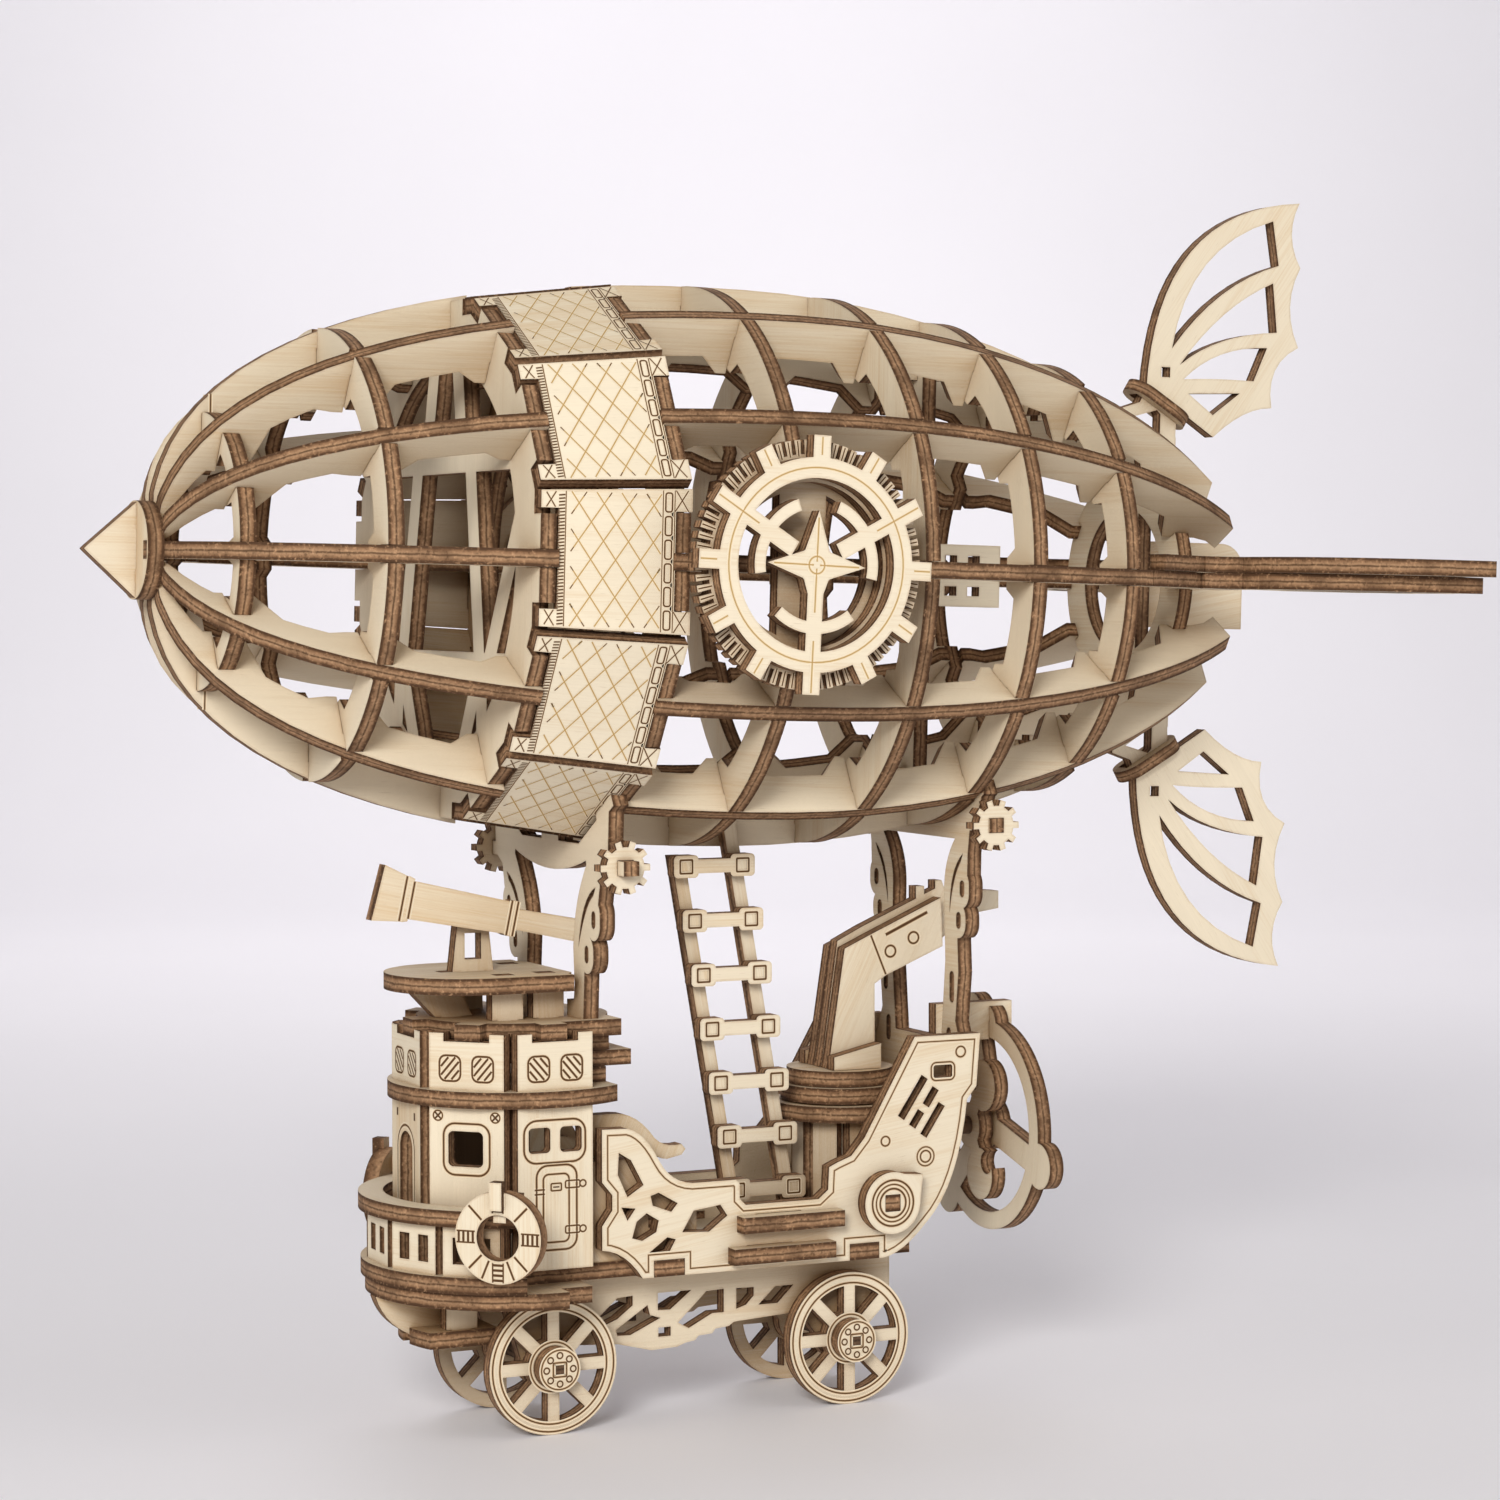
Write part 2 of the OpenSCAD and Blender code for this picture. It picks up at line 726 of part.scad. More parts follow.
module strut_rear() {
    axis_z = axis_height(strut_rear_x);
    r = hull_r(low_station(strut_rear_x));
    top = axis_z - r;
    bar = rear_bar_z;
    color("BurlyWood") across(strut_rear_x) {
        difference() {
            union() {
                both_y() {
                    outline(concat(curve([-14.8, top - 2.6], [-10.4, top - 7], [-10.5, top - 13], 8),
                                   [[-11, top - 26], [-9.4, bar + 9], [-9.4, bar],
                                    [-side_inner + slip, bar],
                                    [-side_inner + slip, bar + 7], [-15, bar + 13],
                                    [-16.2, top - 28], [-15.8, top - 22], [-17, top - 15],
                                    [-19.6, top - 10], [-19.8, top - 5],
                                    [-20.6, top - 0.7], [-28.4, top - 0.7], [-28.4, top + 1.9],
                                       [-23.4, top + 1.9],
                                    [-24.4, top + 4.2], [-26.6, top + 9], [-12, top + 9]]));
                    link(-17.4, top - 12, 7.4);
                    link(-16.1, top - 18.1, 6.8);
                }
                outline([[-16, top + 6], [-16, top - 2.6], [16, top - 2.6], [16, top + 6]]);
                translate([-10, bar]) square([20, 9]);
            }
            translate([0, axis_z]) circle(r = r + 0.4, $fn = 96);
            translate([0, bar + 4.5]) square([ply + 2 * slip, 5 + 2 * slip], center = true);
            both_y() {
                link_hole(-17.6, top - 12, 3.2);
                link_hole(-16.2, top - 18.1, 3.2);
                link_hole(-13.6, top - 31, 6);
                link_hole(-12.4, bar + 9, 5);
                fin_window([-12.7, top - 17], [-12.6, top - 8.4], [-18, top - 5.2],
                    [-17, top - 7], [-14, top - 10]);
            }
        }
        translate([0, axis_z]) for (a = [240, 270, 300]) rotate(a)
            translate([r - strut_slot_depth + slip, -2]) square([strut_slot_depth + 1, 4]);
    }
}

module gear() {
    difference() {
        union() {
            circle(r = 3.7);
            for (k = [0:9]) rotate(36 * k) translate([3, -0.6]) square([1.8, 1.2]);
        }
        square([ply + 2 * slip, 2.6 + 2 * slip], center = true);
    }
}

module strut_gears() {
    front_z = axis_height(strut_front_x) - panel_outer(low_station(strut_front_x)) - 0.7 - 3.3;
    rear_z = axis_height(strut_rear_x) - hull_r(low_station(strut_rear_x)) + 0.6;
    color("Wheat") both_sides() {
        upright(-31.5) translate([strut_front_x, front_z]) gear();
        upright(-28.2) translate([strut_rear_x, rear_z]) gear();
    }
}

// Ladder from the deck to the bottom stringer

function ladder_x_at(z) = 8.6 - (z - first_rung_z) * tan(ladder_lean);
ladder_peg_z = hull_axis_z - hull_radius + 3.6;
// as many rungs as fit below the hull
ladder_rungs_count = 1 + floor((ladder_peg_z - rung_clear - first_rung_z) / rung_pitch);

module ladder_rail(x, top) {
    low = deck_top - 2;
    upright(ladder_y) translate([x, 0]) outline([
        [ladder_x_at(low) - 1.3, low], [ladder_x_at(low) + 1.3, low],
        [ladder_x_at(top) + 1.3, top], [ladder_x_at(top) - 1.3, top]]);
    for (k = [0:ladder_rungs_count - 1])
        translate([x + ladder_x_at(rung_z(k)) - 1.2, ladder_y - ply, rung_z(k) - 1.2])
            cube([2.4, ply + 0.5, 2.4]);
}

module ladder_rails() {
    color("Tan") {
        ladder_rail(0, ladder_peg_z + 2);
        ladder_rail(-ladder_width, hull_axis_z - hull_radius - 1.2);
        translate([ladder_x_at(ladder_peg_z) - 1.1, ladder_y + 1, ladder_peg_z - 1.1])
            cube([2.2, 5, 2.2]);
    }
}

module ladder_rungs() {
    color("Wheat") for (k = [0:ladder_rungs_count - 1])
        translate([ladder_x_at(rung_z(k)) - ladder_width / 2, 0, rung_z(k)])
            upright(ladder_y - ply - slip) difference() {
            union() {
                square([ladder_width, 2.6], center = true);
                for (x = [-1, 1]) translate([x * ladder_width / 2, 0]) rounded(5, 4.2, 0.8);
            }
            for (x = [-1, 1]) translate([x * ladder_width / 2, 0])
                square(2.4 + 2 * slip, center = true);
        }
}

// Chassis and wheels

module chassis_sides() {
    color("BurlyWood") both_sides() upright(-chassis_y - ply) difference() {
        union() {
            outline([[axle_front_x - 7, 22], [axle_front_x - 7, deck_z - ply - slip],
                     [tower_x + 6.4, deck_z - ply - slip], [tower_x + 6.4, deck_z],
                         [axle_rear_x + 11, deck_z],
                     [axle_rear_x + 11, 20], [axle_rear_x + 4, 12], [axle_rear_x - 4, 12],
                         [axle_rear_x - 8, 17.4],
                     [-4.7, 16.6], [-5.7, 15.9], [-8.5, 15.6], [-9.2, 14.8], [-12, 14.6], [-12.7, 13.8],
                     [-14.7, 13.5], [-16.4, 12.9], [-21.6, 12.7], [-28.3, 14.4], [axle_front_x + 6, 15],
                     [axle_front_x + 4, 12], [axle_front_x - 4, 12]]);
            for (x = [axle_front_x, axle_rear_x]) translate([x, wheel_radius]) circle(r = 4.6);
            for (x = [-25, 5]) translate([x, deck_z - 1]) square([7, ply + 1]);
        }
        for (x = [axle_front_x, axle_rear_x]) translate([x, wheel_radius])
            circle(r = axle_radius + bearing_play);
        truss_windows();
    }
}

module truss_windows() {
    outline([[-32.4, 19.6], [-28.5, 23], [-25.4, 23.2], [-25.4, 21.4], [-28.5, 19.1], [-30.9, 18.2]]);
    outline([[-28.8, 17.1], [-22.4, 21.2], [-21.9, 19.3], [-19.8, 18.6], [-25.9, 15.9], [-28.5, 16]]);
    outline([[-20.3, 23.3], [-13.5, 23.3], [-17.8, 20], [-20.3, 20.1]]);
    outline([[-16.2, 17.4], [-10.4, 22.8], [-6.8, 23], [-6.8, 18.6], [-9.2, 18.6], [-14, 16.2]]);
    outline([[-20.2, 16.8], [-17.7, 16.8], [-17.7, 15.1], [-20.2, 15.1]]);
    outline([[-4.2, 22.9], [-0.6, 22.8], [-0.6, 21.2], [-2.2, 19.6], [-4.2, 19]]);
    outline([[0.4, 19.4], [3.9, 22.6], [7.7, 22.6], [4.4, 19.4]]);
}

module axle(x) {
    color("Peru") translate([x, 0, wheel_radius]) {
        rotate([90, 0, 0]) cylinder(r = axle_radius, h = wheel_track - ply - slip, center = true);
        cube([square_end, wheel_track + 3 * ply, square_end], center = true);
    }
}

module axle_front() {
    axle(axle_front_x);
}

module axle_rear() {
    axle(axle_rear_x);
}

module wheel(x, side) {
    y = wheel_track / 2 - ply / 2;
    color("Wheat") translate([x, 0, wheel_radius]) mirror([0, side]) {
        upright(y) difference() {
            circle(r = wheel_radius, $fn = 96);
            difference() {
                circle(r = wheel_radius * 0.8, $fn = 96);
                circle(r = 4.9);
                for (k = [0:3]) rotate(45 * k) square([wheel_diameter, 2.3], center = true);
            }
            square(square_end + 2 * slip, center = true);
        }
        upright(y + ply + slip / 2) difference() {
            circle(r = 3.9);
            square(square_end + 2 * slip, center = true);
        }
    }
}

module wheel_front_left() {
    wheel(axle_front_x, 1);
}

module wheel_front_right() {
    wheel(axle_front_x, 0);
}

module wheel_rear_left() {
    wheel(axle_rear_x, 1);
}

module wheel_rear_right() {
    wheel(axle_rear_x, 0);
}

// Decks, bow and side panels

module bow_sector(r, back) {
    front = gallery_x - r - 1;
    intersection() {
        translate([gallery_x, 0]) circle(r = r, $fn = 96);
        translate([front, -r - 1]) square([tower_x - back - front, 2 * r + 2]);
    }
}

module main_deck() {
    color("Tan") flat(deck_z) difference() {
        union() {
            bow_sector(gallery_radius, 8);
            translate([tower_x - 10, -side_inner + slip])
                square([axle_rear_x + 11 - tower_x + 10, 2 * side_inner - 2 * slip]);
            both_y_flat() for (x = deck_tab_xs) translate([x, -gondola_half]) square([6, 6]);
        }
        both_y_flat() for (x = [-25, 5]) loose_hole(x, -chassis_y - ply, 7, ply);
        for (x = [0, -ladder_width])
            translate([ladder_x_at(deck_top - 1) + x - 2.1, ladder_y - 2 * slip])
                square([4.2, ply + 4 * slip]);
    }
}

module bow_boards() {
    color("Tan") flat(deck_z - ply) difference() {
        union() {
            bow_sector(gallery_radius - 0.8, 0);
            translate([tower_x - 1, -23.4]) square([7, 46.8]);
        }
        loose_hole(tower_x - 23, -ply / 2, 8, ply);
        both_y_flat() loose_hole(tower_x - 15, -7.5, 4, ply);
    }
    color("Tan") flat(16.4) difference() {
        intersection() {
            translate([tower_x + 3, 0]) circle(r = 24, $fn = 96);
            translate([tower_x - 22, -8.5]) square([15.5, 17]);
        }
        translate([tower_x - 30, -ply / 2 - slip]) square([17, ply + 2 * slip]);
        both_y_flat() loose_hole(tower_x - 15, -7.5, 4, ply);
    }
}

module prow_plates() {
    top = deck_z - ply;
    color("BurlyWood") upright(-ply / 2) {
        outline(concat([[tower_x - 11, top], [tower_x - 27.4, top]],
                       curve([tower_x - 27.4, top], [tower_x - 25, 18], [tower_x - 15, 16.4], 10),
                       [[tower_x - 13.2, 16.4], [tower_x - 13.2, 19.6], [tower_x - 11, 19.6]]));
        translate([tower_x - 23, top - 0.5]) square([8, ply]);
    }
    color("BurlyWood") both_sides() upright(-7.5) translate([tower_x - 15, 16.4]) {
        square([4, deck_z - 16.4 - 0.4]);
        translate([-1, ply + slip]) square([6, top - 16.4 - ply - 2 * slip]);
    }
}

module side_panel_blank() {
    f = side_front_x;
    outline(concat(
        [[f, 34.2], [f, 38.6], [f + 2, 41.4], [f + 2, 44.2], [f, 46.6], [f, rail_z + 10.9]],
        curve([f + 5, rail_z + 10.8], [f + 8.4, rail_z + 10], [f + 11.4, rail_z + 4.4], 6),
        curve([f + 11.4, rail_z + 4.4], [f + 13.6, rail_z + 0.4], [f + 18, rail_z], 6),
        [[-9.6, rail_z], [-8.8, rail_z - 0.8], [-8.8, rail_z - 3.6], [-7.6, rail_z - 4.8],
         [7.4, rail_z - 4.8], [9.4, rail_z - 3.2], [9.6, rail_z + 1], [11.4, rail_z + 1.8],
             [14.2, rail_z + 2.8],
         [17, rail_z + 6], [27.6, stern_z], [41.6, stern_z], [40.8, stern_z - 10],
             [38.8, stern_z - 12.4]],
        curve([38.8, stern_z - 12.4], [37, 41], [30.2, 34.6], 8),
        curve([30.2, 34.6], [25, deck_z + 0.4], [21, deck_z], 6),
        [[f + 8, deck_z]], curve([f + 8, deck_z], [f + 4.6, 33.8], [f, 34.2], 6)));
}

module lattice_holes() {
    f = side_front_x;
    outline([[f + 3.3, 51.8], [f + 5.7, 50.3], [f + 8.2, 45.6], [f + 5, 43.6], [f + 3.1, 47.8]]);
    outline([[f + 3.8, 41.8], [f + 6.6, 41.4], [f + 5, 39.3]]);
    outline([[f + 9.6, 43.5], [f + 11.2, 44], [f + 15, 41.8], [f + 13.7, 40.3], [f + 10, 41.7]]);
    outline([[f + 8.8, 40.4], [f + 11.2, 38.9], [f + 10.7, 36.8], [f + 7.9, 35.4], [f + 5.9, 36],
        [f + 6.8, 39]]);
    outline([[f + 9.3, 33.1], [f + 12.9, 35.7], [f + 14.6, 35.2], [f + 13.4, 33.1], [f + 10.6, 32.4]]);
    outline([[f + 18.2, 40.2], [f + 23.6, 40.9], [f + 25, 38.8], [f + 21.3, 36.1], [f + 15.9, 36.4]]);
}

module stern_slot(x, z, length) {
    translate([x, z]) rotate(56) square([length, 1.6], center = true);
}

module side_panel_shape() {
    difference() {
        side_panel_blank();
        lattice_holes();
        stern_slot(27.2, 58.3, 9);
        stern_slot(31, 58.2, 3.8);
        stern_slot(28, 54.2, 3.4);
        stern_slot(31.4, 53.8, 7);
        translate([33.6, 62.9]) square([4, 2.4], center = true);
        for (x = deck_tab_xs) loose_hole(x, deck_z, 6, ply);
        for (s = step_places) translate([s[0] + 4 - slip, s[1] - slip])
            square([9 + 2 * slip, ply + 2 * slip]);
        translate([cam_x, cam_z]) square([ply + 2 * slip, ply + 2 * slip], center = true);
    }
}

deck_tab_xs = [-26, 14];
step_places = [[-9.4, deck_top + 4.1], [-11.2, deck_top - 1.6]];
tread_places = [[side_front_x + 5.3, deck_top + 9.1], [side_front_x + 9.7, deck_top + 5.7],
                [side_front_x + 13.7, deck_top + 2.3]];
cam_x = 21.4;
cam_z = 39.2;

module side_panel_left() {
    color("Wheat") upright(-gondola_half) side_panel_shape();
}

module side_panel_right() {
    color("Wheat") upright(side_inner) side_panel_shape();
}

module side_steps() {
    color("Tan") both_sides() for (s = step_places) flat(s[1]) {
        translate([s[0], -gondola_half - 3]) square([20.8, 3 - slip]);
        translate([s[0] + 4, -gondola_half - 1]) square([9, ply + 1]);
    }
}

module side_cams() {
    color("Wheat") both_sides() {
        upright(-gondola_half - ply - slip / 2) translate([cam_x, cam_z]) difference() {
            union() {
                circle(r = 5.8);
                outline([[-1.4, 5.6], [6.4, 5], [5.6, -1.4], [0, 0]]);
            }
            square(ply + 2 * slip, center = true);
        }
        translate([cam_x, -gondola_half + ply / 2 - slip / 2, cam_z])
            cube([ply, 3 * ply - slip, ply], center = true);
    }
}

module stair_side(y) {
    f = side_front_x;
    upright(y) difference() {
        outline(concat([[f - 1, deck_top], [f - 1, rail_z + 4.7]],
                       curve([f + 6.3, rail_z + 4.7], [f + 10.3, rail_z + 4.7],
                           [f + 12.3, rail_z + 0.7], 6),
                       [[f + 20.3, rail_z - 3.3], [f + 20.3, deck_top]]));
        for (t = tread_places) translate([t[0] + 1 - slip, t[1] - slip])
            square([3 + 2 * slip, ply + 2 * slip]);
    }
}

module handrail() {
    f = side_front_x;
    top = rail_z + 12.7;
    outline(concat([[f - 1, deck_top], [f - 1, top]],
                   curve([f + 5.3, top], [f + 9.7, top], [f + 13.3, top - 5], 6),
                   curve([f + 13.3, top - 5], [f + 15.3, top - 7], [f + 18.7, top - 6.4], 5),
                   [[f + 19.5, top - 7.4], [f + 18.7, top - 8.4]],
                   curve([f + 15.7, top - 9], [f + 13.3, top - 9], [f + 10.7, top - 5], 5),
                   curve([f + 10.7, top - 5], [f + 8.3, top - 2.4], [f + 4.3, top - 2.6], 5),
                   [[f + 2.9, top - 4], [f + 2.9, deck_top]]));
}

module stairs() {
    out = side_inner - ply - 0.3;
    color("BurlyWood") {
        stair_side(-out - ply);
        stair_side(out);
    }
    color("Tan") for (t = tread_places) flat(t[1]) {
        translate([t[0], -out + slip]) square([5, 2 * out - 2 * slip]);
        translate([t[0] + 1, -out - ply]) square([3, 2 * out + 2 * ply]);
    }
    color("Wheat") both_sides() upright(-out + slip) handrail();
}

// Tower

module wall(x, a, apothem, z) {
    translate([x, 0, z]) rotate([0, 0, a]) translate([-apothem, 0, 0]) rotate([90, 0, 90])
        linear_extrude(height = ply) children();
}

module cabin_panels() {
    h = ring_deck_z - deck_top;
    color("Wheat") {
        for (a = [90, -90]) wall(tower_x, a, gondola_half, deck_top) mirror([a > 0 ? 0 : 1, 0])
            difference() {
            translate([-panel_half, 0]) square([2 * panel_half, h]);
            for (x = [-3, 3.1]) translate([x, h - 6]) rounded(4.2, 4.6, 0.8);
        }
        for (a = [45, -45]) wall(tower_x, a, gondola_half, deck_top) difference() {
            translate([-panel_half, 0]) square([2 * panel_half, h]);
            translate([0.2, h - 7.6]) rounded(6.8, 6.4, 1);
        }
        wall(tower_x, 0, gondola_half, deck_top) difference() {
            translate([-panel_half, 0]) square([2 * panel_half, h]);
            translate([-3.2, 5]) square([6.4, h - 14]);
            translate([0, h - 9]) circle(r = 3.2);
        }
    }
}

module tower_sheet() {
    h = top_deck_z + 1.4 - ring_deck_z - ply;
    difference() {
        translate([-panel_half, 0]) square([2 * panel_half, h]);
        translate([-panel_half + 2.8, h - 1.4 - slip]) square([2 * panel_half - 5.6, 4]);
    }
}

module tower_panels() {
    color("Wheat") for (a = [-90, -45, 0, 45, 90]) wall(tower_x, a, gondola_half, ring_deck_z + ply)
        tower_sheet();
}

module ring_deck() {
    r = gondola_half / cos(22.5) + 0.4;
    color("Tan") flat(ring_deck_z) translate([tower_x, 0]) intersection() {
        circle(r = r, $fn = 96);
        translate([-r, -r]) square([r + 13, 2 * r]);
    }
}

module landing_boards() {
    low = ring_deck_z + ply;
    rise = (top_deck_z - low) / 3;
    color("Tan") translate([tower_x + 8.5, 0, low]) for (k = [0:2])
        translate([0, -landing_half, k * rise]) cube([landing_reach[k], 2 * landing_half, rise - slip]);
}

module top_deck() {
    color("Tan") flat(top_deck_z) difference() {
        union() {
            translate([tower_x, 0]) circle(r = side_inner - 0.2, $fn = 96);
            translate([tower_x, -side_inner + 0.3]) square([14.4, 2 * side_inner - 0.6]);
            for (a = [-90, -45, 0, 45, 90]) translate([tower_x, 0]) rotate(a)
                translate([-gondola_half + 0.4, -2.5]) square([6, 5]);
        }
        both_y_flat() loose_hole(strut_front_x - ply / 2, -14, ply, 2.8);
        for (p = lookout_posts) translate([p[0] - 2 - slip, p[1] - ply / 2 - slip])
            square([4 + 2 * slip, ply + 2 * slip]);
    }
}

lookout_posts = [[tower_x - 12.4, 0], [tower_x + 3, -9], [tower_x + 3, 9], [tower_x - 5.4, -10],
    [tower_x - 5.4, 10]];

module lookout_supports() {
    low = top_deck_z + ply;
    color("BurlyWood") for (p = lookout_posts) upright(p[1] - ply / 2) translate([p[0], low]) {
        if (p[1] == 0)
            outline([[-3.2, slip], [4, slip], [1.6, lookout_z - low - slip],
                [-8, lookout_z - low - slip]]);
        else
            translate([-3, slip]) square([6, lookout_z - low - 2 * slip]);
        translate([-2, -ply + slip]) square([4, ply]);
        translate([-2, lookout_z - low - 0.5]) square([3.4, ply + 0.4]);
    }
}

module lookout_board() {
    color("Tan") flat(lookout_z) difference() {
        union() {
            translate([tower_x - 8.5, 0]) circle(r = 15.5, $fn = 96);
            translate([tower_x - 8.5, -15.5]) square([14.5, 31]);
            translate([strut_front_x - ply / 2 - 2.9, 0]) rounded(5, 26, 2.4);
        }
        for (p = lookout_posts) translate([p[0] - 2 - slip, p[1] - ply / 2 - slip])
            square([3.4 + 2 * slip, ply + 2 * slip]);
        loose_hole(telescope_x - 2.4, -ply / 2, 4.8, ply);
    }
}

// Telescope

module telescope_stand() {
    z = lookout_top;
    color("Wheat") upright(-ply / 2) difference() {
        union() {
            outline([[telescope_x - 4, z], [telescope_x + 4, z], [telescope_x + 2.8, z + 10.6],
                [telescope_x - 2.8, z + 10.6]]);
            translate([telescope_x, telescope_pin_z]) circle(r = 2.8);
            translate([telescope_x - 2.4, z - ply]) square([4.8, ply + 0.5]);
        }
        translate([telescope_x, z + 4.6]) square([3.2, 4.8], center = true);
        translate([telescope_x, telescope_pin_z]) circle(r = telescope_pin + bearing_play);
    }
}

module tube_outline() {
    outline([[-20.2, -4.9], [-19.6, 5.4], [-15, 4.2], [-14.4, 4.2], [-13.4, 3.9], [-13.4, 3.5],
             [6, 3], [6, 3.3], [7.2, 3.3], [7.2, 1.9], [19.4, 2.1], [19.4, -2.1], [7.2, -1.9],
             [7.2, -3.3], [6, -3.3], [6, -3], [-13.4, -3.5], [-13.4, -3.9], [-14.4, -4.2],
             [-15, -4.2]]);
}

// flat tube beside its stand, with the pin that turns in the stand and a keeper behind it
module telescope_tube() {
    beside = ply / 2 + telescope_gap;
    color("Wheat") translate([telescope_x, 0, telescope_pin_z]) {
        rotate([0, telescope_tilt, 0]) upright(-beside - ply) tube_outline();
        translate([0, -beside - 0.5, 0]) rotate([-90, 0, 0])
            cylinder(r = telescope_pin, h = 2 * beside + 0.5 + 2);
        upright(beside) difference() {
            circle(r = 2.4);
            circle(r = telescope_pin + slip / 2);
        }
    }
}

// Gallery and lifebuoys

module gallery_panels() {
    apothem = gallery_radius - gallery_edge;
    half = (apothem - ply) * tan(13) - slip;
    color("Wheat") for (a = [-52, -26, 0, 26, 52]) wall(gallery_x, a, apothem, deck_top)
        difference() {
        translate([-half, 0]) square([2 * half, gallery_height]);
        for (x = [-2.3, 2.3]) translate([x, gallery_height / 2]) square([2.4, 4.8], center = true);
    }
}

module gallery_rail() {
    color("Tan") flat(deck_top + gallery_height) difference() {
        bow_sector(gallery_radius + 0.4, 9);
        translate([gallery_x, 0]) circle(r = gallery_radius - 4.2, $fn = 96);
    }
}

module lifebuoy() {
    z = deck_top + 8.2;
    back = gallery_radius + 0.7;
    translate([gallery_x, 0, 0]) rotate([0, 0, 45]) translate([-back - ply, -10.7, 0]) {
        translate([0, 0, z]) rotate([90, 0, 90]) linear_extrude(height = ply) difference() {
            circle(r = 8.2, $fn = 96);
            circle(r = 4.1);
        }
        translate([1, -1.5, deck_top + gallery_height + ply + slip]) cube([7.4, ply, 3]);
        translate([-1.2, -1.2, z + 5]) cube([2.4, 2.4, 5]);
        translate([0.8, -1.2, z + 2.6]) cube([2, 2.4, 3]);
    }
}

module lifebuoys() {
    color("Wheat") both_sides() lifebuoy();
}

// Crane

module crane_pedestal() {
    z = deck_top;
    h = crane_platform_z - z;
    color("BurlyWood") for (a = [-90, -45, 0, 45, 90])
        translate([crane_x, 0, z]) rotate([0, 0, a]) translate([-9, 0, 0]) rotate([90, 0, 90])
            linear_extrude(height = ply) translate([-(9 - ply) * tan(22.5) + slip, 0])
                square([2 * (9 - ply) * tan(22.5) - 2 * slip, h - slip]);
    color("Tan") flat(crane_platform_z) translate([crane_x, 0]) difference() {
        intersection() {
            circle(r = 13, $fn = 96);
            translate([-14, -14]) square([24.8, 28]);
        }
        circle(r = 1.4 + bearing_play);
    }
}

module crane_turntable() {
    low = platform_top + turntable_gap;
    color("Tan") translate([crane_x, 0, 0]) difference() {
        union() {
            translate([0, 0, low]) cylinder(r = 11.4, h = ply, $fn = 96);
            translate([0, 0, low + ply + slip]) cylinder(r = 10.2, h = ply, $fn = 96);
        }
        translate([-4.4 - slip, -1.5 * ply - 2 * slip, platform_top])
            cube([8.8 + 2 * slip, 3 * ply + 4 * slip, 3 * ply]);
    }
}

module crane_arm_outline(tip) {
    x = crane_x;
    z = turntable_top;
    plain = [[x - 1.2, z + 22.9], [x + 4.2, z + 25.3], [x + 19.6, z + 31.9]];
    tall = [[x - 1.2, z + 24.1], [x + 4.2, z + 26.7], [x + 15.8, z + 31.6], [x + 15.8, z + 34],
            [x + 17.6, z + 34], [x + 17.6, z + 32.4], [x + 20, z + 33.4], [x + 20, z + 35],
            [x + 21.4, z + 35], [x + 22, z + 33.5], [x + 34, z + 32.5], [x + 34, z + 29.1],
            [x + 27, z + 28.1]];
    outline(concat([[x - 4.8, z + 0.1], [x - 4.4, z + 2]], tip ? tall : plain,
                   [[x + 20, z + 22.5], [x + 7.8, z + 17.5], [x + 5.2, z + 15.9], [x + 5.2, z + 0.1]]));
}

module crane_arm() {
    foot = turntable_top - platform_top - turntable_gap;
    color("Wheat") {
        for (y = [-1.5 * ply - slip, -0.5 * ply, 0.5 * ply + slip]) upright(y) {
            crane_arm_outline(y == -0.5 * ply);
            translate([crane_x - 4.4, turntable_top - foot]) square([8.8, foot + 0.5]);
        }
        for (y = [-2.5 * ply - 2 * slip, 1.5 * ply + 2 * slip]) upright(y)
            outline([[crane_x - 5, turntable_top + slip], [crane_x + 5, turntable_top + slip],
                     [crane_x + 5, turntable_top + 4.8], [crane_x - 5, turntable_top + 2.6]]);
        translate([crane_x, 0, crane_platform_z]) cylinder(r = 1.4, h = ply + turntable_gap + 0.1);
    }
}

// Propeller

module propeller_shaft() {
    color("Peru") translate([stern_x - ply / 2 - 0.9, 0, shaft_z]) rotate([0, 90, 0])
        cylinder(r = axle_radius, h = guard_x - stern_x + 3.4);
}

module stern_plate() {
    color("BurlyWood") across(stern_x) difference() {
        outline([[-side_inner + slip, deck_top + 13], [-side_inner + slip, shaft_z + 5],
            [side_inner - slip, shaft_z + 5],
                 [side_inner - slip, deck_top + 13]]);
        translate([0, shaft_z]) circle(r = axle_radius + bearing_play);
    }
}

module propeller() {
    color("Wheat") across(propeller_x) translate([0, shaft_z]) difference() {
        union() {
            circle(r = 4.4);
            for (k = [0:2]) rotate(120 * k) {
                translate([0, -1.8]) square([blade_radius - 5, 3.6]);
                translate([blade_radius - 5.2, 0.6]) circle(r = 5);
            }
        }
        circle(r = axle_radius + slip / 2);
        for (k = [0:2]) rotate(120 * k) translate([blade_radius - 6, -3]) circle(r = 2.2);
    }
}

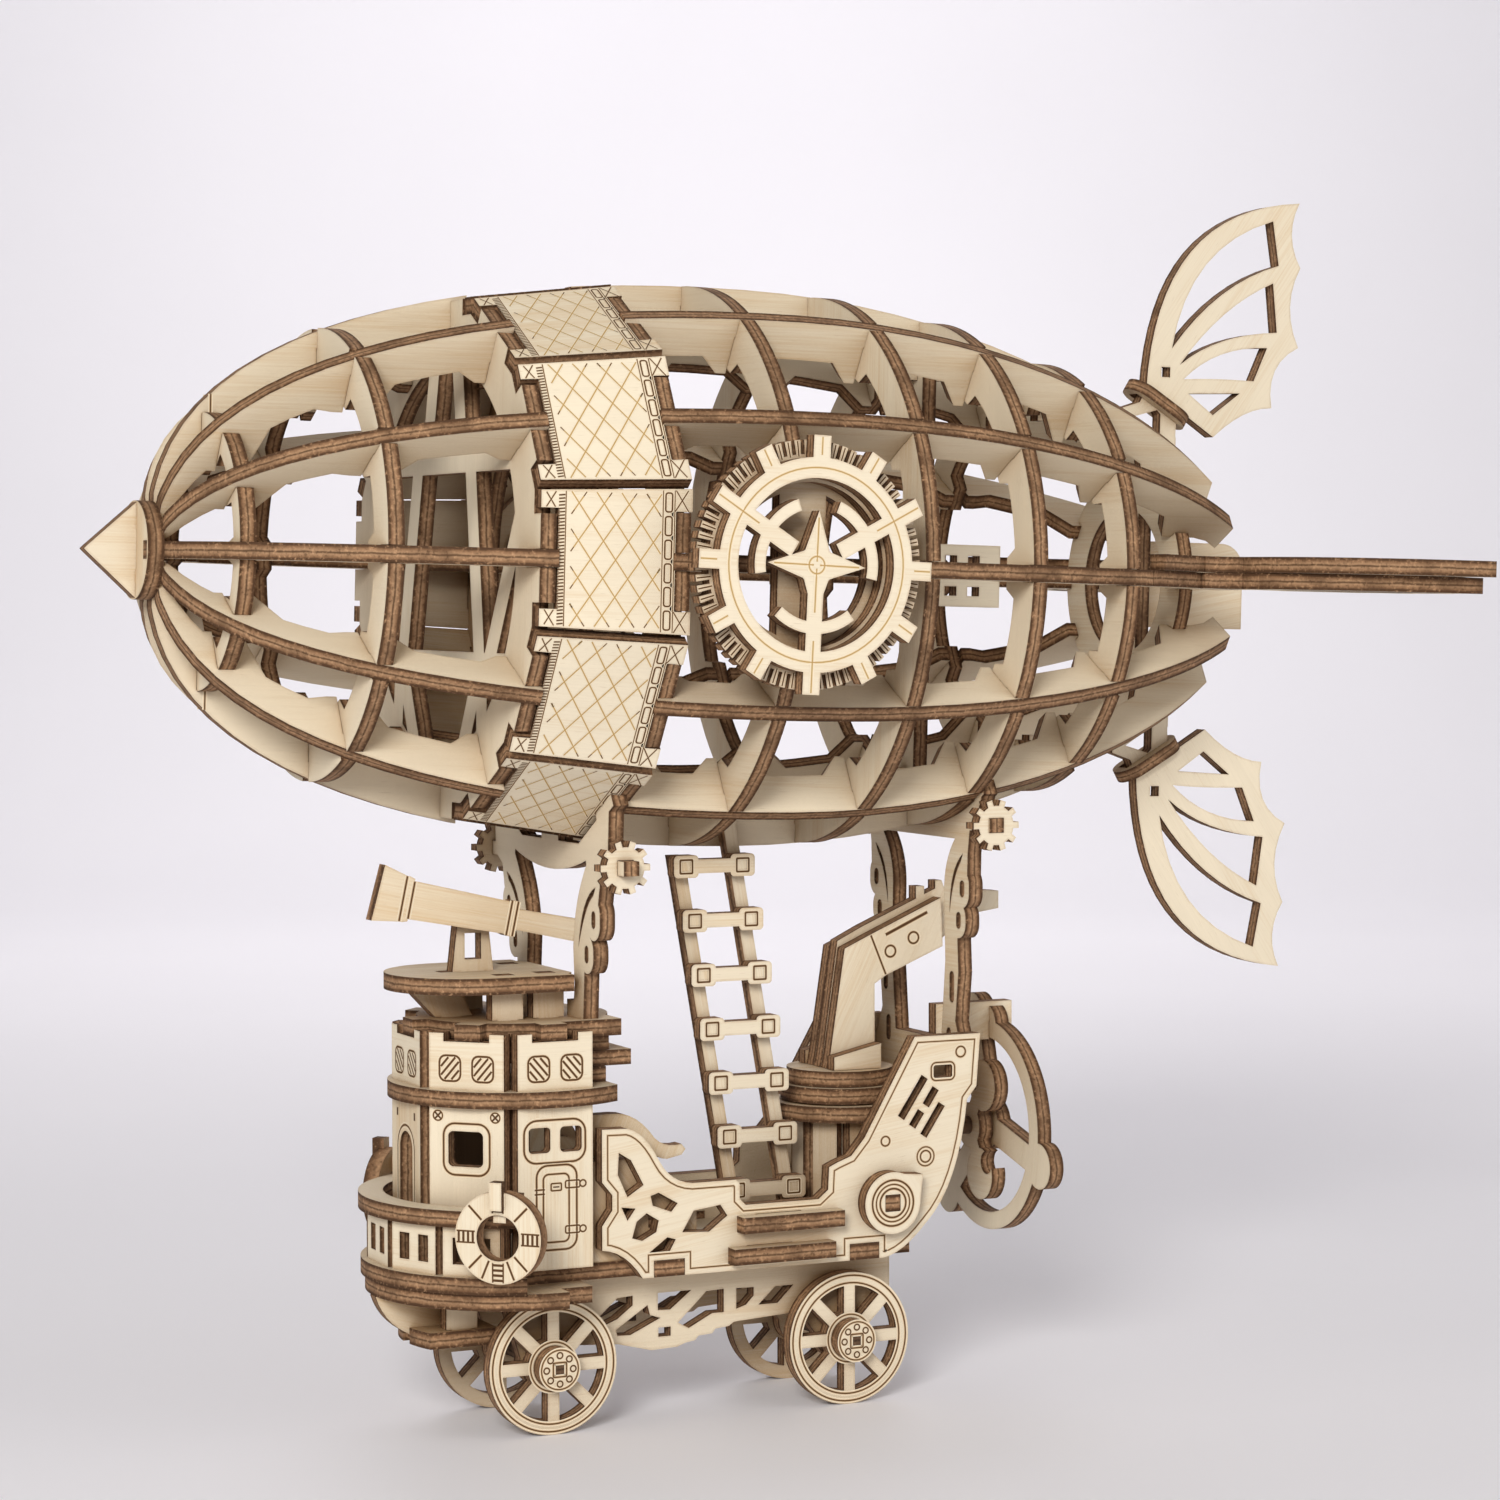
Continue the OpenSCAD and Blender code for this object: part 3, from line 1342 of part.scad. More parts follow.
module prop_guard() {
    color("BurlyWood") across(guard_x) translate([0, shaft_z]) difference() {
        union() {
            difference() {
                union() {
                    circle(r = guard_radius + 3.4, $fn = 96);
                    translate([0, guard_radius + 2.4]) circle(r = 4);
                }
                circle(r = guard_radius, $fn = 96);
            }
            circle(r = 5);
            for (a = guard_arm_angles) rotate(a) {
                translate([0, -2.6]) square([guard_radius + 5, 5.2]);
                translate([guard_radius + 4.4, 0]) circle(r = 4.4);
            }
        }
        circle(r = axle_radius + bearing_play);
        translate([-ply / 2 - slip, guard_radius + 3]) square([ply + 2 * slip, 10]);
    }
    lap_z = shaft_z + guard_radius + 3;
    bar = rear_bar_z + 4.5;
    color("Tan") upright(-ply / 2) difference() {
        union() {
            translate([strut_rear_x + ply / 2 + slip, bar - 4])
                square([guard_x + 3.4 - strut_rear_x - ply / 2, lap_z + 4 - bar + 4]);
            translate([strut_rear_x - ply / 2, bar - 2.5]) square([ply + 1, 5]);
        }
        translate([guard_x - ply / 2 - slip, bar - 10]) square([ply + 2 * slip, lap_z - bar + 10 + slip]);
        translate([strut_rear_x + 4.1, bar - 10]) square([20, lap_z - bar + 6.6]);
    }
}

nose_cone();
nose_disc();
stringers_vertical();
stringers_side();
stringers_upper();
stringers_lower();
rings_front();
rings_middle();
rings_rear();
band_ring_front();
band_ring_rear();
band_panels();
tail_disc();
tail_plates();
wing_top();
wing_bottom();
wing_left();
wing_right();
wing_collars();
emblem_rings();
emblem_backs();
strut_front();
strut_rear();
strut_gears();
ladder_rails();
ladder_rungs();
chassis_sides();
axle_front();
axle_rear();
wheel_front_left();
wheel_front_right();
wheel_rear_left();
wheel_rear_right();
main_deck();
bow_boards();
prow_plates();
side_panel_left();
side_panel_right();
side_steps();
side_cams();
stairs();
cabin_panels();
tower_panels();
ring_deck();
landing_boards();
top_deck();
lookout_supports();
lookout_board();
telescope_stand();
telescope_tube();
gallery_panels();
gallery_rail();
lifebuoys();
crane_pedestal();
crane_turntable();
crane_arm();
propeller_shaft();
stern_plate();
propeller();
prop_guard();
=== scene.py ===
"""Looks of the plywood airship: pale faces, burnt edges, fine engraving. Metres, same frame as the part."""

import math

import bpy
import numpy as np
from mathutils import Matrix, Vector


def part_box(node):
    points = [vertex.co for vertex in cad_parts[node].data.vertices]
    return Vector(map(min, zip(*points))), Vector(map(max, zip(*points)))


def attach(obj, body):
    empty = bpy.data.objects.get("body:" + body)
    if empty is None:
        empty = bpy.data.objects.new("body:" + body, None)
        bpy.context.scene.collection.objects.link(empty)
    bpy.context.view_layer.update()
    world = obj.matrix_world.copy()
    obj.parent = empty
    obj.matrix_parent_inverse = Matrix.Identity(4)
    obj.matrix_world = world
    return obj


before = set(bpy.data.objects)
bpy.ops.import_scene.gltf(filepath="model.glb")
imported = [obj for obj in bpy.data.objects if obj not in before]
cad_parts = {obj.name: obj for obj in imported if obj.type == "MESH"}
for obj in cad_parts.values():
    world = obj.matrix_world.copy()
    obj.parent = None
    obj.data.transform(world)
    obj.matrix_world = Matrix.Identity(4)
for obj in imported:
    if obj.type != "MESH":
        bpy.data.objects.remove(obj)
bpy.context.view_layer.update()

# Driving values: millimetres, and angles written in degrees

MM = 0.001
PLY = 3.0
LINE = 0.3
HALO = 0.34
LIFT = 0.02
TICK_PITCH = 0.58
HULL_RADIUS = 52.3
HULL_FRONT = 112.7
HULL_REAR = 116.0
HULL_MID = (-1.4, 0.0, 157.6)
HULL_TILT = math.radians(1.6)
RING_STATIONS = (-102, -81, -10, 16.3, 40.3, 63.9)
TOWER_X = -45.4
WHEEL_RADIUS = 12.5
HUB_GAP = 0.05
AXLE_XS = {"front": -43.3, "rear": 17.1}
LADDER_WIDTH = 11.6
LADDER_LEAN = math.radians(9.8)
FIRST_RUNG = (8.6, 41.0)
RUNG_PITCH = 10.2
RUNG_COUNT = 7
CAM = (21.4, 39.2)
TELESCOPE_PIN = (-53.6, 95.0)
TELESCOPE_TILT = math.radians(11.8)
TELESCOPE_FACES = {-1: -4.8, 1: -1.8}
CRANE = (22.3, 62.3)
CRANE_FACE = 4.6
EMBLEM_X = -11.8
EMBLEM_RING = 18.6
EMBLEM_HATCH = (18.9, 21.5)
EMBLEM_GEAR_TEETH = 72
EMBLEM_ARMS = (1, 5, 9)
EMBLEM_TURN = math.radians(1.5)
LIFEBUOY_Z = 39.7

CAMERA_POINT = (-306.0, -648.7, 154.8)
CAMERA_YAW = 25.494
CAMERA_PITCH = 2.511
CAMERA_ROLL = -0.076
CAMERA_LENS = 91.2

DOWELS = ("axle_front", "axle_rear", "propeller_shaft")
FACING = {"ladder_rungs": (0, 1, 0), "ladder_rails": (0, 1, 0)}
# Walls whose inner faces get painted shade.
WALLS = ("cabin_panels", "tower_panels", "gallery_panels")


# Node helpers

def material(name):
    made = bpy.data.materials.new(name)
    made.use_nodes = True
    made.node_tree.nodes.clear()
    return made, made.node_tree


def add(tree, kind, inputs=None, **settings):
    node = tree.nodes.new(kind)
    for key, value in settings.items():
        setattr(node, key, value)
    for key, value in (inputs or {}).items():
        if isinstance(value, bpy.types.NodeSocket):
            tree.links.new(value, node.inputs[key])
        else:
            node.inputs[key].default_value = value
    return node


def maths(tree, operation, a, b=0.0):
    return add(tree, "ShaderNodeMath", {0: a, 1: b}, operation=operation).outputs[0]


def ramp(tree, value, stops):
    node = add(tree, "ShaderNodeValToRGB", {"Fac": value})
    elements = node.color_ramp.elements
    while len(elements) < len(stops):
        elements.new(0.5)
    for element, (place, colour) in zip(elements, stops):
        element.position = place
        element.color = (*colour, 1) if len(colour) == 3 else colour
    return node.outputs["Color"]


def mix(tree, share, a, b, blend="MIX"):
    node = add(tree, "ShaderNodeMix", data_type="RGBA", blend_type=blend)
    for socket, value in ((node.inputs[0], share), (node.inputs[6], a), (node.inputs[7], b)):
        if isinstance(value, bpy.types.NodeSocket):
            tree.links.new(value, socket)
        else:
            socket.default_value = value if isinstance(value, float) else (*value, 1)
    return node.outputs[2]


def remap(tree, value, low, high, to_low=0.0, to_high=1.0):
    node = add(tree, "ShaderNodeMapRange", {0: value, 1: low, 2: high, 3: to_low, 4: to_high})
    return node.outputs[0]


def noise(tree, vector, scale, detail=3.0, rough=0.55):
    node = add(tree, "ShaderNodeTexNoise",
               {"Vector": vector, "Scale": scale, "Detail": detail, "Roughness": rough})
    return node.outputs[0]


def sheet_vector(tree, along, over):
    """Sheet coordinates in millimetres, squeezed along the grain."""
    sheet = add(tree, "ShaderNodeAttribute", attribute_name="sheet")
    node = add(tree, "ShaderNodeVectorMath", {0: sheet.outputs["Vector"], 1: (along, over, 0.0)},
               operation="MULTIPLY")
    return node.outputs[0]


def finish_material(tree, colour, rough, height, bump):
    normal = add(tree, "ShaderNodeBump", {"Height": height, "Strength": bump, "Distance": 0.0002})
    shader = add(tree, "ShaderNodeBsdfPrincipled",
                 {"Base Color": colour, "Roughness": rough, "Normal": normal.outputs[0]})
    shader.inputs["Specular IOR Level"].default_value = 0.25
    out = add(tree, "ShaderNodeOutputMaterial")
    tree.links.new(shader.outputs[0], out.inputs[0])


# Materials

def face_material(name, pale, warm):
    """Pale veneer: long fibres, broad bands, short pores, a scorched rim at every cut, and painted shade that
    darkens the corners.
    """
    made, tree = material(name)
    fibre = noise(tree, sheet_vector(tree, 0.05, 2.6), 1.0, 4.0, 0.6)
    bands = noise(tree, sheet_vector(tree, 0.02, 0.22), 1.0, 2.0)
    pores = noise(tree, sheet_vector(tree, 0.35, 5.0), 1.0, 1.0)
    tone = add(tree, "ShaderNodeAttribute", attribute_name="tone").outputs["Fac"]
    share = maths(tree, "ADD", maths(tree, "MULTIPLY", fibre, 0.55), maths(tree, "MULTIPLY", bands, 0.55))
    share = maths(tree, "ADD", share, maths(tree, "MULTIPLY", tone, 0.16))
    wood = ramp(tree, share, [(0.28, pale), (0.55, [p * 0.94 for p in pale]), (0.85, warm)])
    pore = remap(tree, pores, 0.66, 0.78, 0.0, 0.35)
    wood = mix(tree, pore, wood, [w * 0.72 for w in warm])
    rounded = add(tree, "ShaderNodeBevel", {"Radius": 0.75 * MM}, samples=4)
    flat = add(tree, "ShaderNodeNewGeometry")
    turn = add(tree, "ShaderNodeVectorMath", {0: rounded.outputs[0], 1: flat.outputs["True Normal"]},
               operation="DOT_PRODUCT").outputs["Value"]
    patchy = remap(tree, noise(tree, sheet_vector(tree, 0.4, 0.4), 1.0, 3.0), 0.35, 0.7, 0.35, 1.0)
    scorch = maths(tree, "MULTIPLY", remap(tree, turn, 0.995, 0.86), patchy)
    wood = mix(tree, maths(tree, "MULTIPLY", scorch, 0.6), wood, (0.36, 0.20, 0.085))
    # Painted shade: ambient occlusion darkens the wood towards a warm brown in corners and recesses, standing
    # in for shade.
    corner_shade_ao = add(tree, "ShaderNodeAmbientOcclusion", {"Distance": 24 * MM}, samples=3)
    unshaded_share = remap(tree, corner_shade_ao.outputs["AO"], 0.1, 0.74)
    painted_shade_wood = mix(tree, 1.0, wood, (0.40, 0.27, 0.16), "MULTIPLY")
    wood = mix(tree, unshaded_share, painted_shade_wood, wood)
    rough = remap(tree, fibre, 0.3, 0.7, 0.58, 0.72)
    finish_material(tree, wood, rough, fibre, 0.12)
    return made


def edge_material(name, dark, middle, light):
    """Laser-cut edge: veneer lines through the thickness, charred rims and pale flecks."""
    made, tree = material(name)
    sheet = add(tree, "ShaderNodeAttribute", attribute_name="sheet")
    depth = add(tree, "ShaderNodeSeparateXYZ", {0: sheet.outputs["Vector"]}).outputs[2]
    place = add(tree, "ShaderNodeTexCoord").outputs["Object"]
    wander = noise(tree, place, 260.0, 2.0)
    depth = maths(tree, "ADD", depth, maths(tree, "MULTIPLY", maths(tree, "SUBTRACT", wander, 0.5), 0.16))
    layers = ramp(tree, depth, [(0.0, dark), (0.13, dark), (0.22, middle), (0.40, light),
                                (0.50, dark), (0.60, light), (0.78, middle), (0.88, dark)])
    specks = noise(tree, place, 1500.0, 3.0, 0.65)
    blotch = noise(tree, place, 170.0, 3.0)
    colour = mix(tree, remap(tree, specks, 0.55, 0.75, 0.0, 0.55), layers, [min(1.0, v * 1.9) for v in light])
    colour = mix(tree, remap(tree, specks, 0.46, 0.30, 0.0, 0.75), colour, dark)
    colour = mix(tree, remap(tree, blotch, 0.48, 0.70, 0.0, 0.6), colour, dark)
    finish_material(tree, colour, 0.82, specks, 0.25)
    return made


def line_material(name, core, rim):
    """Engraved line: dark core, golden rim that fades into the wood."""
    made, tree = material(name)
    place = add(tree, "ShaderNodeTexCoord").outputs["Object"]
    strength = noise(tree, place, 420.0, 3.0)
    burn = add(tree, "ShaderNodeAttribute", attribute_name="burn").outputs["Fac"]
    burn = maths(tree, "SUBTRACT", burn, maths(tree, "MULTIPLY", strength, 0.16))
    shade = ramp(tree, burn, [(0.0, PALE), (0.35, [(a + 2 * b) / 3 for a, b in zip(rim, PALE)]),
                              (0.66, rim), (0.86, core)])
    finish_material(tree, shade, 0.75, strength, 0.1)
    return made


PALE = (0.83, 0.73, 0.555)
FACE = face_material("basswood_face", PALE, (0.67, 0.50, 0.30))
# Painted shade: a dark brown copy of the face material for inner wall faces, standing in for the unlit
# inside.
PAINTED_INNER_SHADE = face_material("painted_inner_shade_face", (0.15, 0.088, 0.042), (0.10, 0.055, 0.024))
EDGE = edge_material("burnt_edge", (0.075, 0.036, 0.016), (0.225, 0.118, 0.058), (0.37, 0.22, 0.118))
DOWEL = edge_material("burnt_stick", (0.04, 0.021, 0.01), (0.09, 0.05, 0.027), (0.14, 0.082, 0.046))
ENGRAVED = line_material("engraved_line", (0.47, 0.30, 0.105), (0.68, 0.53, 0.31))
ENGRAVED_DARK = line_material("engraved_dark", (0.09, 0.042, 0.016), (0.46, 0.28, 0.12))


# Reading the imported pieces

class Mesh:
    """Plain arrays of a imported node, with its separate solids found."""

    def __init__(self, node):
        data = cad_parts[node].data
        self.data = data
        self.points = np.empty((len(data.vertices), 3), np.float32)
        data.vertices.foreach_get("co", self.points.ravel())
        count = len(data.polygons)
        self.normals = np.empty((count, 3), np.float32)
        data.polygons.foreach_get("normal", self.normals.ravel())
        self.areas = np.empty(count, np.float32)
        data.polygons.foreach_get("area", self.areas)
        self.corners = [tuple(p.vertices) for p in data.polygons]
        _, self.weld = np.unique(np.round(self.points * 2e5).astype(np.int64), axis=0, return_inverse=True)
        self.weld = self.weld.ravel()
        self.solid = self.find_solids()

    def find_solids(self):
        parent = list(range(int(self.weld.max()) + 1))

        def root(i):
            while parent[i] != i:
                parent[i] = parent[parent[i]]
                i = parent[i]
            return i

        for corners in self.corners:
            first = root(self.weld[corners[0]])
            for c in corners[1:]:
                parent[root(self.weld[c])] = first
        roots = [root(self.weld[c[0]]) for c in self.corners]
        order = {r: i for i, r in enumerate(dict.fromkeys(roots))}
        return np.array([order[r] for r in roots])

    def plate_normal(self, chosen):
        """Direction with the most face area: across the sheet."""
        normals = self.normals[chosen]
        lead = np.abs(normals).argmax(1)
        sign = np.sign(normals[np.arange(len(normals)), lead])
        keys = np.round(normals * sign[:, None] * 50).astype(int)
        kinds, which = np.unique(keys, axis=0, return_inverse=True)
        total = np.bincount(which.ravel(), self.areas[chosen], len(kinds))
        best = which.ravel() == total.argmax()
        normal = (normals[best] * sign[best, None] * self.areas[chosen][best, None]).sum(0)
        return normal / np.linalg.norm(normal)

    def face_points(self, chosen):
        return self.points[sorted({c for k in np.flatnonzero(chosen) for c in self.corners[k]})]


MESHES = {name: Mesh(name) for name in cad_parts}


def dress(node, number):
    """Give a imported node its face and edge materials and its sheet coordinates."""
    mesh = MESHES[node]
    sheet = np.zeros_like(mesh.points)
    tone = np.zeros(len(mesh.points), np.float32)
    kinds = np.ones(len(mesh.corners), np.int32)
    for k in range(mesh.solid.max() + 1):
        chosen = mesh.solid == k
        normal = np.array(FACING[node], float) if node in FACING else mesh.plate_normal(chosen)
        used = sorted({c for i in np.flatnonzero(chosen) for c in mesh.corners[i]})
        points = mesh.points[used].astype(float)
        depth = points @ normal
        flat = points - points.mean(0)
        flat -= np.outer(flat @ normal, normal)
        grain = np.linalg.eigh(flat.T @ flat)[1][:, 2]
        seed = math.sin(12.9898 * (number + 1) + 78.233 * (k + 1)) * 43758.5453
        shift = seed - math.floor(seed)
        sheet[used, 0] = flat @ grain / MM + 500 * shift
        sheet[used, 1] = flat @ np.cross(normal, grain) / MM + 300 * shift
        sheet[used, 2] = (depth - depth.min()) / max(depth.max() - depth.min(), 1e-6)
        tone[used] = 2 * shift - 1
        facing = mesh.normals @ normal
        kinds[chosen & (np.abs(facing) > 0.95)] = 0
        # Painted shade: wall faces that look towards the tower get the dark material, so the inside reads as
        # unlit.
        if node in WALLS:
            inward = np.sign(normal @ (np.array((TOWER_X * MM, 0, 0)) - points.mean(0) * (1, 1, 0)))
            kinds[chosen & (facing * inward > 0.95)] = 2
    mesh.data.attributes.new("sheet", "FLOAT_VECTOR", "POINT").data.foreach_set("vector", sheet.ravel())
    mesh.data.attributes.new("tone", "FLOAT", "POINT").data.foreach_set("value", tone)
    mesh.data.materials.clear()
    mesh.data.materials.append(DOWEL if node in DOWELS else FACE)
    mesh.data.materials.append(DOWEL if node in DOWELS else EDGE)
    if node in WALLS:
        mesh.data.materials.append(PAINTED_INNER_SHADE)
    mesh.data.polygons.foreach_set("material_index", kinds)


for number, node in enumerate(sorted(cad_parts)):
    dress(node, number)


# Engraving

class Sheet:
    """A flat face with its own two axes, in millimetres."""

    def __init__(self, origin, across, up):
        self.origin = Vector(origin)
        self.across = Vector(across).normalized()
        self.up = Vector(up).normalized()
        self.out = self.across.cross(self.up).normalized()

    def at(self, x, y, lift=LIFT):
        return (self.origin + self.across * x + self.up * y + self.out * lift) * MM


class Engraving:
    """Thin ribbons that lie on the faces of one body."""

    def __init__(self, name, body, slot, paint=ENGRAVED):
        self.name, self.body, self.slot, self.paint = name, body, slot, paint
        self.points, self.quads, self.burn = [], [], []
        self.drawn = 0

    def strip(self, sheet, path, closed, low, high, lift):
        """One band of a line: low and high are (offset from the middle, burn)."""
        start, count = len(self.points), len(path)
        for x, y, side_x, side_y in path:
            for offset, burn in (low, high):
                self.points.append(sheet.at(x + side_x * offset, y + side_y * offset, lift))
                self.burn.append(burn)
        for i in range(count if closed else count - 1):
            a, b = start + 2 * i, start + 2 * ((i + 1) % count)
            self.quads.append((a, b, b + 1, a + 1))

    def line(self, sheet, points, width=LINE, closed=False, halo=HALO):
        """A dark core with a fading halo; each line lies a hair above the last where they cross."""
        path = mitred(points, closed)
        hair = 0.05 * (self.drawn % 12)
        self.drawn += 1
        self.strip(sheet, path, closed, (width / 2, 1.0), (-width / 2, 1.0), (1.7 + hair) * LIFT)
        if halo:
            lift = (1 + hair) * LIFT
            self.strip(sheet, path, closed, (width / 2 + halo, 0.0), (width / 2, 0.75), lift)
            self.strip(sheet, path, closed, (-width / 2, 0.75), (-width / 2 - halo, 0.0), lift)

    def circle(self, sheet, x, y, r, width=LINE, count=48, halo=HALO):
        points = [(x + r * math.cos(t), y + r * math.sin(t)) for t in turns(count)]
        self.line(sheet, points, width, True, halo)

    def make(self):
        mesh = bpy.data.meshes.new(self.name)
        mesh.from_pydata(self.points, [], self.quads)
        mesh.attributes.new("burn", "FLOAT", "POINT").data.foreach_set("value", self.burn)
        mesh.materials.append(self.paint)
        made = bpy.data.objects.new(self.name, mesh)
        bpy.context.scene.collection.objects.link(made)
        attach(made, self.body)
        return made


def mitred(points, closed):
    """Points of a line with the sideways direction at each, lengthened where the line turns."""
    path = []
    last = len(points) - 1
    for i, (x, y) in enumerate(points):
        before = points[i - 1] if closed or i > 0 else None
        after = points[(i + 1) % len(points)] if closed or i < last else None
        sides = []
        for a, b in ((before, (x, y)), ((x, y), after)):
            if a is None or b is None:
                continue
            length = math.hypot(b[0] - a[0], b[1] - a[1])
            if length > 1e-6:
                sides.append((-(b[1] - a[1]) / length, (b[0] - a[0]) / length))
        side_x = sum(v[0] for v in sides) / len(sides)
        side_y = sum(v[1] for v in sides) / len(sides)
        square = max(side_x ** 2 + side_y ** 2, 0.3)
        path.append((x, y, side_x / square, side_y / square))
    return path


def turns(count):
    return [2 * math.pi * i / count for i in range(count)]


def soft_box(x0, y0, x1, y1, r, count=4):
    """Corners of a rectangle with round corners."""
    points = []
    middles = ((x1 - r, y1 - r), (x0 + r, y1 - r), (x0 + r, y0 + r), (x1 - r, y0 + r))
    for quarter, (cx, cy) in enumerate(middles):
        for i in range(count + 1):
            t = math.pi / 2 * (quarter + i / count)
            points.append((cx + r * math.cos(t), cy + r * math.sin(t)))
    return points


def outward_sheets(node, centre):
    """Outer face of each solid of a node, seen from a centre line, with the spread of its points."""
    mesh = MESHES[node]
    for k in range(mesh.solid.max() + 1):
        chosen = mesh.solid == k
        normal = mesh.plate_normal(chosen)
        middle = mesh.face_points(chosen).mean(0)
        if normal @ (middle - centre(middle)) < 0:
            normal = -normal
        face = chosen & (mesh.normals @ normal > 0.98)
        yield Vector(normal), mesh.face_points(face) / MM


def face_loop(node, direction):
    """Longest border of the faces of a node that look one way, as points in millimetres."""
    mesh = MESHES[node]
    level = mesh.points @ np.array(direction)
    faces = [k for k in np.flatnonzero(mesh.normals @ np.array(direction) > 0.99)
             if level[mesh.corners[k][0]] > level.max() - 1e-5]
    count, after, place = {}, {}, {}
    for k in faces:
        ring = [int(mesh.weld[c]) for c in mesh.corners[k]]
        for c, i in zip(mesh.corners[k], ring):
            place[i] = mesh.points[c] / MM
        for a, b in zip(ring, ring[1:] + ring[:1]):
            count[frozenset((a, b))] = count.get(frozenset((a, b)), 0) + 1
            after[(a, b)] = True
    follow = {a: b for a, b in after if count[frozenset((a, b))] == 1}
    loops = []
    while follow:
        start, here = next(iter(follow.items()))
        loop = [start]
        del follow[start]
        while here in follow and here != start:
            loop.append(here)
            here = follow.pop(here)
        loops.append([place[i] for i in loop])
    return max(loops, key=lambda p: sum(np.linalg.norm(a - b) for a, b in zip(p, p[1:])))


def inset(points, amount):
    """A closed outline drawn inside itself."""
    area = sum(a[0] * b[1] - b[0] * a[1] for a, b in zip(points, points[1:] + points[:1]))
    inward = math.copysign(amount, area)
    drawn = []
    for before, here, after in zip(points[-1:] + points[:-1], points, points[1:] + points[:1]):
        a = Vector((here[0] - before[0], here[1] - before[1])).normalized()
        b = Vector((after[0] - here[0], after[1] - here[1])).normalized()
        bend = max(0.35, (1 + a.dot(b)) / 2) ** 0.5
        side = (Vector((-a.y, a.x)) + Vector((-b.y, b.x))).normalized()
        drawn.append((here[0] + side.x * inward / bend, here[1] + side.y * inward / bend))
    return drawn


def clipped(a, b, inside):
    """Part of a line that lies inside a shape, found by trying points along it."""
    steps = 60
    kept = [i / steps for i in range(steps + 1)
            if inside(a[0] + (b[0] - a[0]) * i / steps, a[1] + (b[1] - a[1]) * i / steps)]
    if len(kept) < 2:
        return None
    return [(a[0] + (b[0] - a[0]) * t, a[1] + (b[1] - a[1]) * t) for t in (kept[0], kept[-1])]


def hull_radius(s):
    if s < 0:
        return HULL_RADIUS * (1 - (-s / HULL_FRONT) ** 2.2) ** (1 / 2.6)
    return HULL_RADIUS * (1 - (s / HULL_REAR) ** 2) ** (1 / 1.6)


HULL_X = Vector((math.cos(HULL_TILT), 0, -math.sin(HULL_TILT)))
HULL_Z = Vector((math.sin(HULL_TILT), 0, math.cos(HULL_TILT)))


def hull_axis(point):
    """Nearest point of the hull axis, for metres."""
    middle = Vector(HULL_MID) * MM
    return np.array(middle + HULL_X * HULL_X.dot(Vector(point) - middle))


def tower_axis(point):
    return np.array((TOWER_X * MM, 0, point[2]))


def upright_sheet(normal, point):
    """Sheet on an upright face round the tower: zero on its middle line, heights as they are."""
    centre = Vector((TOWER_X, 0, 0))
    reach = (Vector(point) - centre).dot(normal)
    return Sheet(centre + normal * reach, Vector((0, 0, 1)).cross(normal), (0, 0, 1))


def spoke(angle, *reaches, aside=0.0):
    """Points on a ray from the middle of a round face, or beside that ray."""
    c, s = math.cos(angle), math.sin(angle)
    return [(r * c - aside * s, r * s + aside * c) for r in reaches]


def outer_y(node, side):
    """Outermost y of a node on one side, in millimetres."""
    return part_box(node)[0 if side < 0 else 1].y / MM


def side_sheet(y, side, x=0.0, z=0.0):
    """Sheet on an upright face that looks to one side, zero at a given place."""
    return Sheet((x, y, z), (-side, 0, 0), (0, 0, 1))


# Band: diamond lattice between a ticked border and a border of links

class BandPanel:
    """Outer face of one panel: u runs back from its front edge, v across from its middle line."""

    def __init__(self, normal, points):
        along = (HULL_X - normal * HULL_X.dot(normal)).normalized()
        over = normal.cross(along)
        flat = [(Vector(p).dot(along), Vector(p).dot(over)) for p in points]
        start, end = min(u for u, v in flat), max(u for u, v in flat)
        middle = (min(v for u, v in flat) + max(v for u, v in flat)) / 2
        self.front_half = max(v for u, v in flat if u < start + 0.5) - middle
        self.rear_half = max(v for u, v in flat if u > end - 0.5) - middle
        self.length = end - start
        level = Vector(points[0]).dot(normal)
        self.sheet = Sheet(normal * level + along * start + over * middle, along, over)

    def half(self, u):
        """Half of the width that is engraved, a little less than the panel's own."""
        return self.front_half + (self.rear_half - self.front_half) * u / self.length - 0.25

    def field(self, u, v):
        front_border, rear_border = PLY + 1.5, PLY + 2.4
        return front_border < u < self.length - rear_border and abs(v) < self.half(u)

    def tab(self, u, v):
        front_width, rear_width, margin = 3.0, 4.0, 0.2
        front = u < PLY + 0.6 and abs(v) > self.front_half - front_width
        rear = u > self.length - PLY - 0.6 and abs(v) > self.rear_half - rear_width
        return (front or rear) and margin < u < self.length - margin and abs(v) < self.half(u)


def engrave_band():
    lattice = Engraving("band_lattice", "airship", "hull_ply")
    borders = Engraving("band_borders", "airship", "hull_ply", ENGRAVED_DARK)
    for normal, points in outward_sheets("band_panels", hull_axis):
        panel = BandPanel(normal, points)
        engrave_lattice(panel, lattice, borders)
        engrave_tabs(panel, borders)
        engrave_borders(panel, borders)
    lattice.make()
    borders.make()


def engrave_lattice(panel, lattice, borders):
    """Crossing lines over the field, each with a dark tip at both ends."""
    step, rise, reach = 4.45, 6.4, 6
    for k in range(-12, 14):
        for lean in (-1, 1):
            a = (k * step - reach * step, -lean * reach * rise)
            b = (k * step + reach * step, lean * reach * rise)
            piece = clipped(a, b, panel.field)
            if piece:
                lattice.line(panel.sheet, piece, 0.2, halo=0.16)
                for end, other in (piece, piece[::-1]):
                    share = 0.9 / max(math.dist(end, other), 1.8)
                    tip = [e + (o - e) * share for e, o in zip(end, other)]
                    borders.line(panel.sheet, [end, tip], 0.17, halo=0.1)


